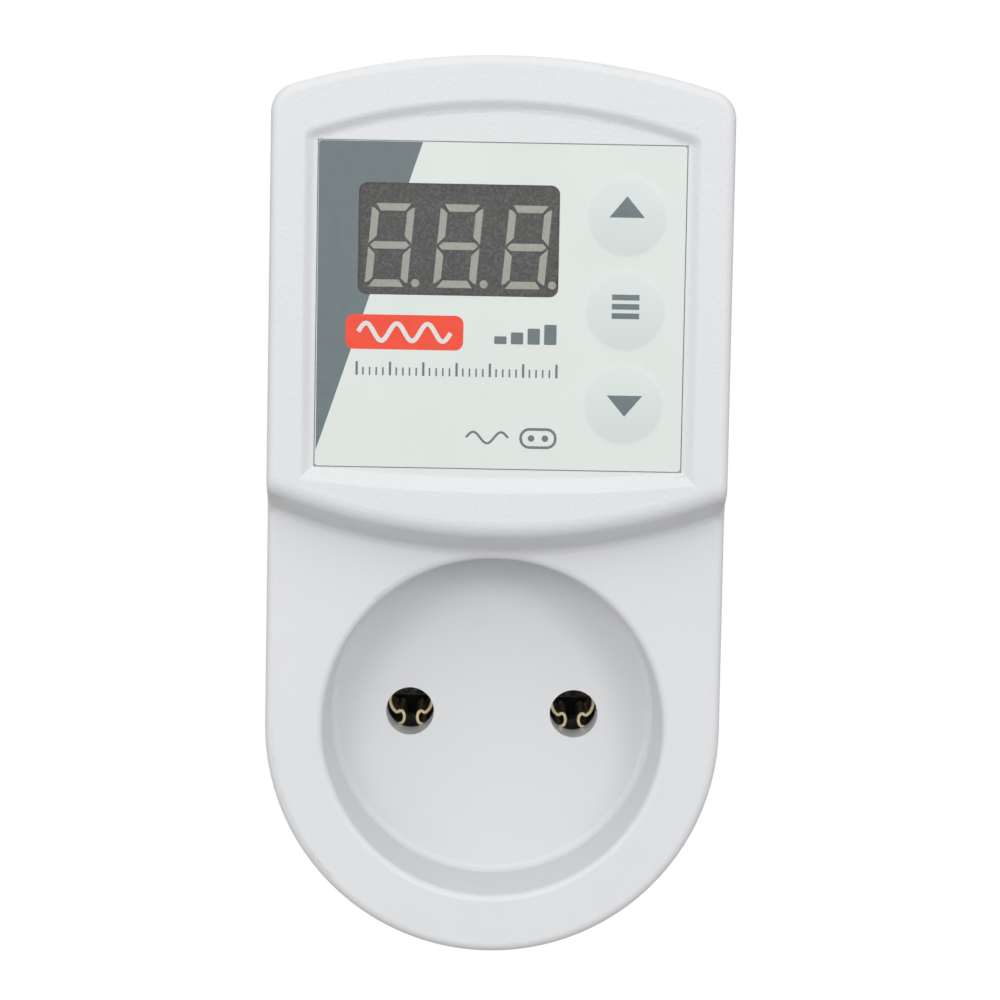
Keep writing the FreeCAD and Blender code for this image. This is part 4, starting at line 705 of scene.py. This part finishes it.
def contact_leaves(name, brass):
    """A sprung contact: two mirrored brass leaves, hooked inwards below the pin, their feet turned out."""
    low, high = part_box(name)
    socket = "neutral_socket_hole" if name.startswith("neutral") else "live_socket_hole"
    mount = next(m for m in frame["record"]["mounts"] if m["name"] == socket)
    x = mount["pos_m"][0]
    bm = bmesh.new()
    for side in (-1, 1):
        line = smooth_line([(x + side * px * MM, pz * MM) for px, pz in LEAF])
        add_strip(bm, line, LEAF_THICKNESS, low.y, high.y)
    leaves = finish_piece(f"{name}_leaves", bm, brass, smooth=True)
    bevel = leaves.modifiers.new("worn_edges", "BEVEL")
    bevel.width, bevel.segments, bevel.limit_method = 0.06 * MM, 2, "ANGLE"
    bevel.angle_limit = radians(50)
    bevel.harden_normals = True
    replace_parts(leaves, name)


# ---------------------------------------------------------------- studio

LIGHTS = (("key_light", (0.38, -1.05, 0.34), 0.30, 1.6), ("front_light", (-0.35, -1.10, 0.38), 0.36, 1.8),
          ("fill_light", (-0.75, -0.75, 0.25), 0.8, 0.5), ("back_light", (-0.2, 0.75, 0.6), 0.6, 0.6))
AIR_COLOUR, AIR_STRENGTH = (0.98, 0.99, 1.0, 1.0), 0.9
CAMERA_PLACE, CAMERA_LENS, CAMERA_SENSOR = (-0.0023, -0.437, 0.0597), 125.1, 36.0
CAMERA_PITCH, CAMERA_YAW, CAMERA_ROLL = radians(4.99), radians(0.40), radians(1.07)
GLOW_BELOW, GLOW_ABOVE, GLOW_RISE = 0.57, 0.93, 0.7
GLOW_FRONT, GLOW_BEHIND, GLOW_REACH = 1.29, 0.18, 1.6


def studio_paper(low, high):
    """White paper. The camera sees it evenly lit, and it lights the object mostly from in front and above."""
    material = bpy.data.materials.new("studio_paper")
    material.use_nodes = True
    tree = material.node_tree
    tree.nodes.clear()
    add = tree.nodes.new
    place, axes = add("ShaderNodeNewGeometry"), add("ShaderNodeSeparateXYZ")
    rise, reach, glow = add("ShaderNodeMapRange"), add("ShaderNodeMapRange"), add("ShaderNodeMath")
    glow.operation = "MULTIPLY"
    ends = ("From Min", "From Max", "To Min", "To Max")
    for node, values in ((rise, (low, high, GLOW_BELOW, GLOW_ABOVE)),
                         (reach, (-GLOW_REACH, GLOW_REACH, GLOW_FRONT, GLOW_BEHIND))):
        for socket, value in zip(ends, values):
            node.inputs[socket].default_value = value
    lamp, paper = add("ShaderNodeEmission"), add("ShaderNodeEmission")
    ray, mix, output = add("ShaderNodeLightPath"), add("ShaderNodeMixShader"), add("ShaderNodeOutputMaterial")
    links = ((place.outputs["Position"], axes.inputs[0]),
             (axes.outputs["Z"], rise.inputs["Value"]), (axes.outputs["Y"], reach.inputs["Value"]),
             (rise.outputs["Result"], glow.inputs[0]), (reach.outputs["Result"], glow.inputs[1]),
             (glow.outputs[0], lamp.inputs["Strength"]),
             (ray.outputs["Is Camera Ray"], mix.inputs[0]), (lamp.outputs[0], mix.inputs[1]),
             (paper.outputs[0], mix.inputs[2]), (mix.outputs[0], output.inputs["Surface"]))
    for source, target in links:
        tree.links.new(source, target)
    return material


def studio_floor():
    """A round pale floor that sweeps up into a wall on every side."""
    floor, flat, bend, wall, around, steps = -0.085, 1.6, 0.9, 2.2, 96, 14
    profile = [(0.0, floor), (0.4, floor), (flat, floor)]
    profile += [(flat + bend * sin(a), floor + bend * (1 - cos(a)))
                for a in (pi / 2 * i / steps for i in range(1, steps + 1))]
    profile.append((flat + bend, floor + wall))
    bm = bmesh.new()
    loops = [[bm.verts.new((r * cos(2 * pi * k / around), r * sin(2 * pi * k / around), z))
              for k in range(around)] for r, z in profile[1:]]
    middle = bm.verts.new((0, 0, floor))
    for k in range(around):
        n = (k + 1) % around
        bm.faces.new((middle, loops[0][k], loops[0][n]))
        for a, b in zip(loops, loops[1:]):
            bm.faces.new((a[k], b[k], b[n], a[n]))
    mesh = bpy.data.meshes.new("studio_floor")
    bm.to_mesh(mesh)
    bm.free()
    for polygon in mesh.polygons:
        polygon.use_smooth = True
    stage = bpy.data.objects.new("studio_floor", mesh)
    bpy.context.scene.collection.objects.link(stage)
    stage.data.materials.append(studio_paper(floor, floor + GLOW_RISE))


def softbox(name, position, size, power, target):
    """A round lamp that faces the target."""
    light = bpy.data.lights.new(name, "AREA")
    light.shape, light.size, light.energy = "DISK", size, power
    lamp = bpy.data.objects.new(name, light)
    bpy.context.scene.collection.objects.link(lamp)
    lamp.location = position
    lamp.rotation_euler = (Vector(target) - Vector(position)).to_track_quat("-Z", "Y").to_euler()


def light_studio():
    low, high = CAD_BOX
    middle = (Vector(low) + Vector(high)) / 2
    for name, position, size, power in LIGHTS:
        softbox(name, position, size, power, middle)
    world = bpy.data.worlds.new("studio_air")
    world.use_nodes = True
    air = world.node_tree.nodes["Background"]
    air.inputs["Color"].default_value = AIR_COLOUR
    air.inputs["Strength"].default_value = AIR_STRENGTH
    bpy.context.scene.world = world


def camera_axes(pitch, yaw, roll):
    """Right, up and backward directions of a camera that looks along +Y, then turns."""
    ahead = Vector((sin(yaw) * cos(pitch), cos(yaw) * cos(pitch), -sin(pitch)))
    level = Vector((cos(yaw), -sin(yaw), 0))
    above = level.cross(ahead)
    right = cos(roll) * level + sin(roll) * above
    up = -sin(roll) * level + cos(roll) * above
    return right, up, -ahead


def place_camera():
    data = bpy.data.cameras.new("camera")
    data.lens, data.sensor_width = CAMERA_LENS, CAMERA_SENSOR
    data.clip_start, data.clip_end = 0.02, 20.0
    camera = bpy.data.objects.new("camera", data)
    bpy.context.scene.collection.objects.link(camera)
    axes = camera_axes(CAMERA_PITCH, CAMERA_YAW, CAMERA_ROLL)
    turn = Matrix(axes).transposed().to_4x4()
    camera.matrix_world = Matrix.Translation(CAMERA_PLACE) @ turn
    bpy.context.scene.camera = camera
    bpy.context.scene.view_settings.view_transform = "Standard"


# The gap round the film is bounded in depth too, or the painted shade would show on the casing's back.
SEAT_MARGIN, SEAT_FRONT, SEAT_BEHIND = 0.3 * MM, 0.03 * MM, 0.1 * MM
HOOD_DROP = 8 * MM

film_low, film_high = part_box("overlay_film")
seat = (Vector((film_low.x - SEAT_MARGIN, film_high.y - SEAT_FRONT, film_low.z - SEAT_MARGIN)),
        film_high + Vector((SEAT_MARGIN, SEAT_BEHIND, SEAT_MARGIN)))
LOOKS = make_looks(film_low.z - HOOD_DROP, seat)
dress_nodes(LOOKS)
grey_ink = ink_look("ink_grey", (0.148, 0.187, 0.194), (0.13, 0.165, 0.172))
red_ink = ink_look("ink_red", (0.86, 0.075, 0.035), (0.78, 0.055, 0.03))
pale_ink = ink_look("ink_pale", (0.71, 0.72, 0.70), (0.66, 0.67, 0.65))
artwork = Print()
artwork.wedge(grey_ink)
artwork.label(red_ink, pale_ink)
artwork.level_bars(grey_ink)
artwork.scale(grey_ink)
artwork.socket_sign(grey_ink)
make_segments(LOOKS["segments"])
make_keys(grey_ink)
for clip in ("live_clip", "neutral_clip"):
    contact_leaves(clip, LOOKS["brass"])
studio_floor()
light_studio()
place_camera()
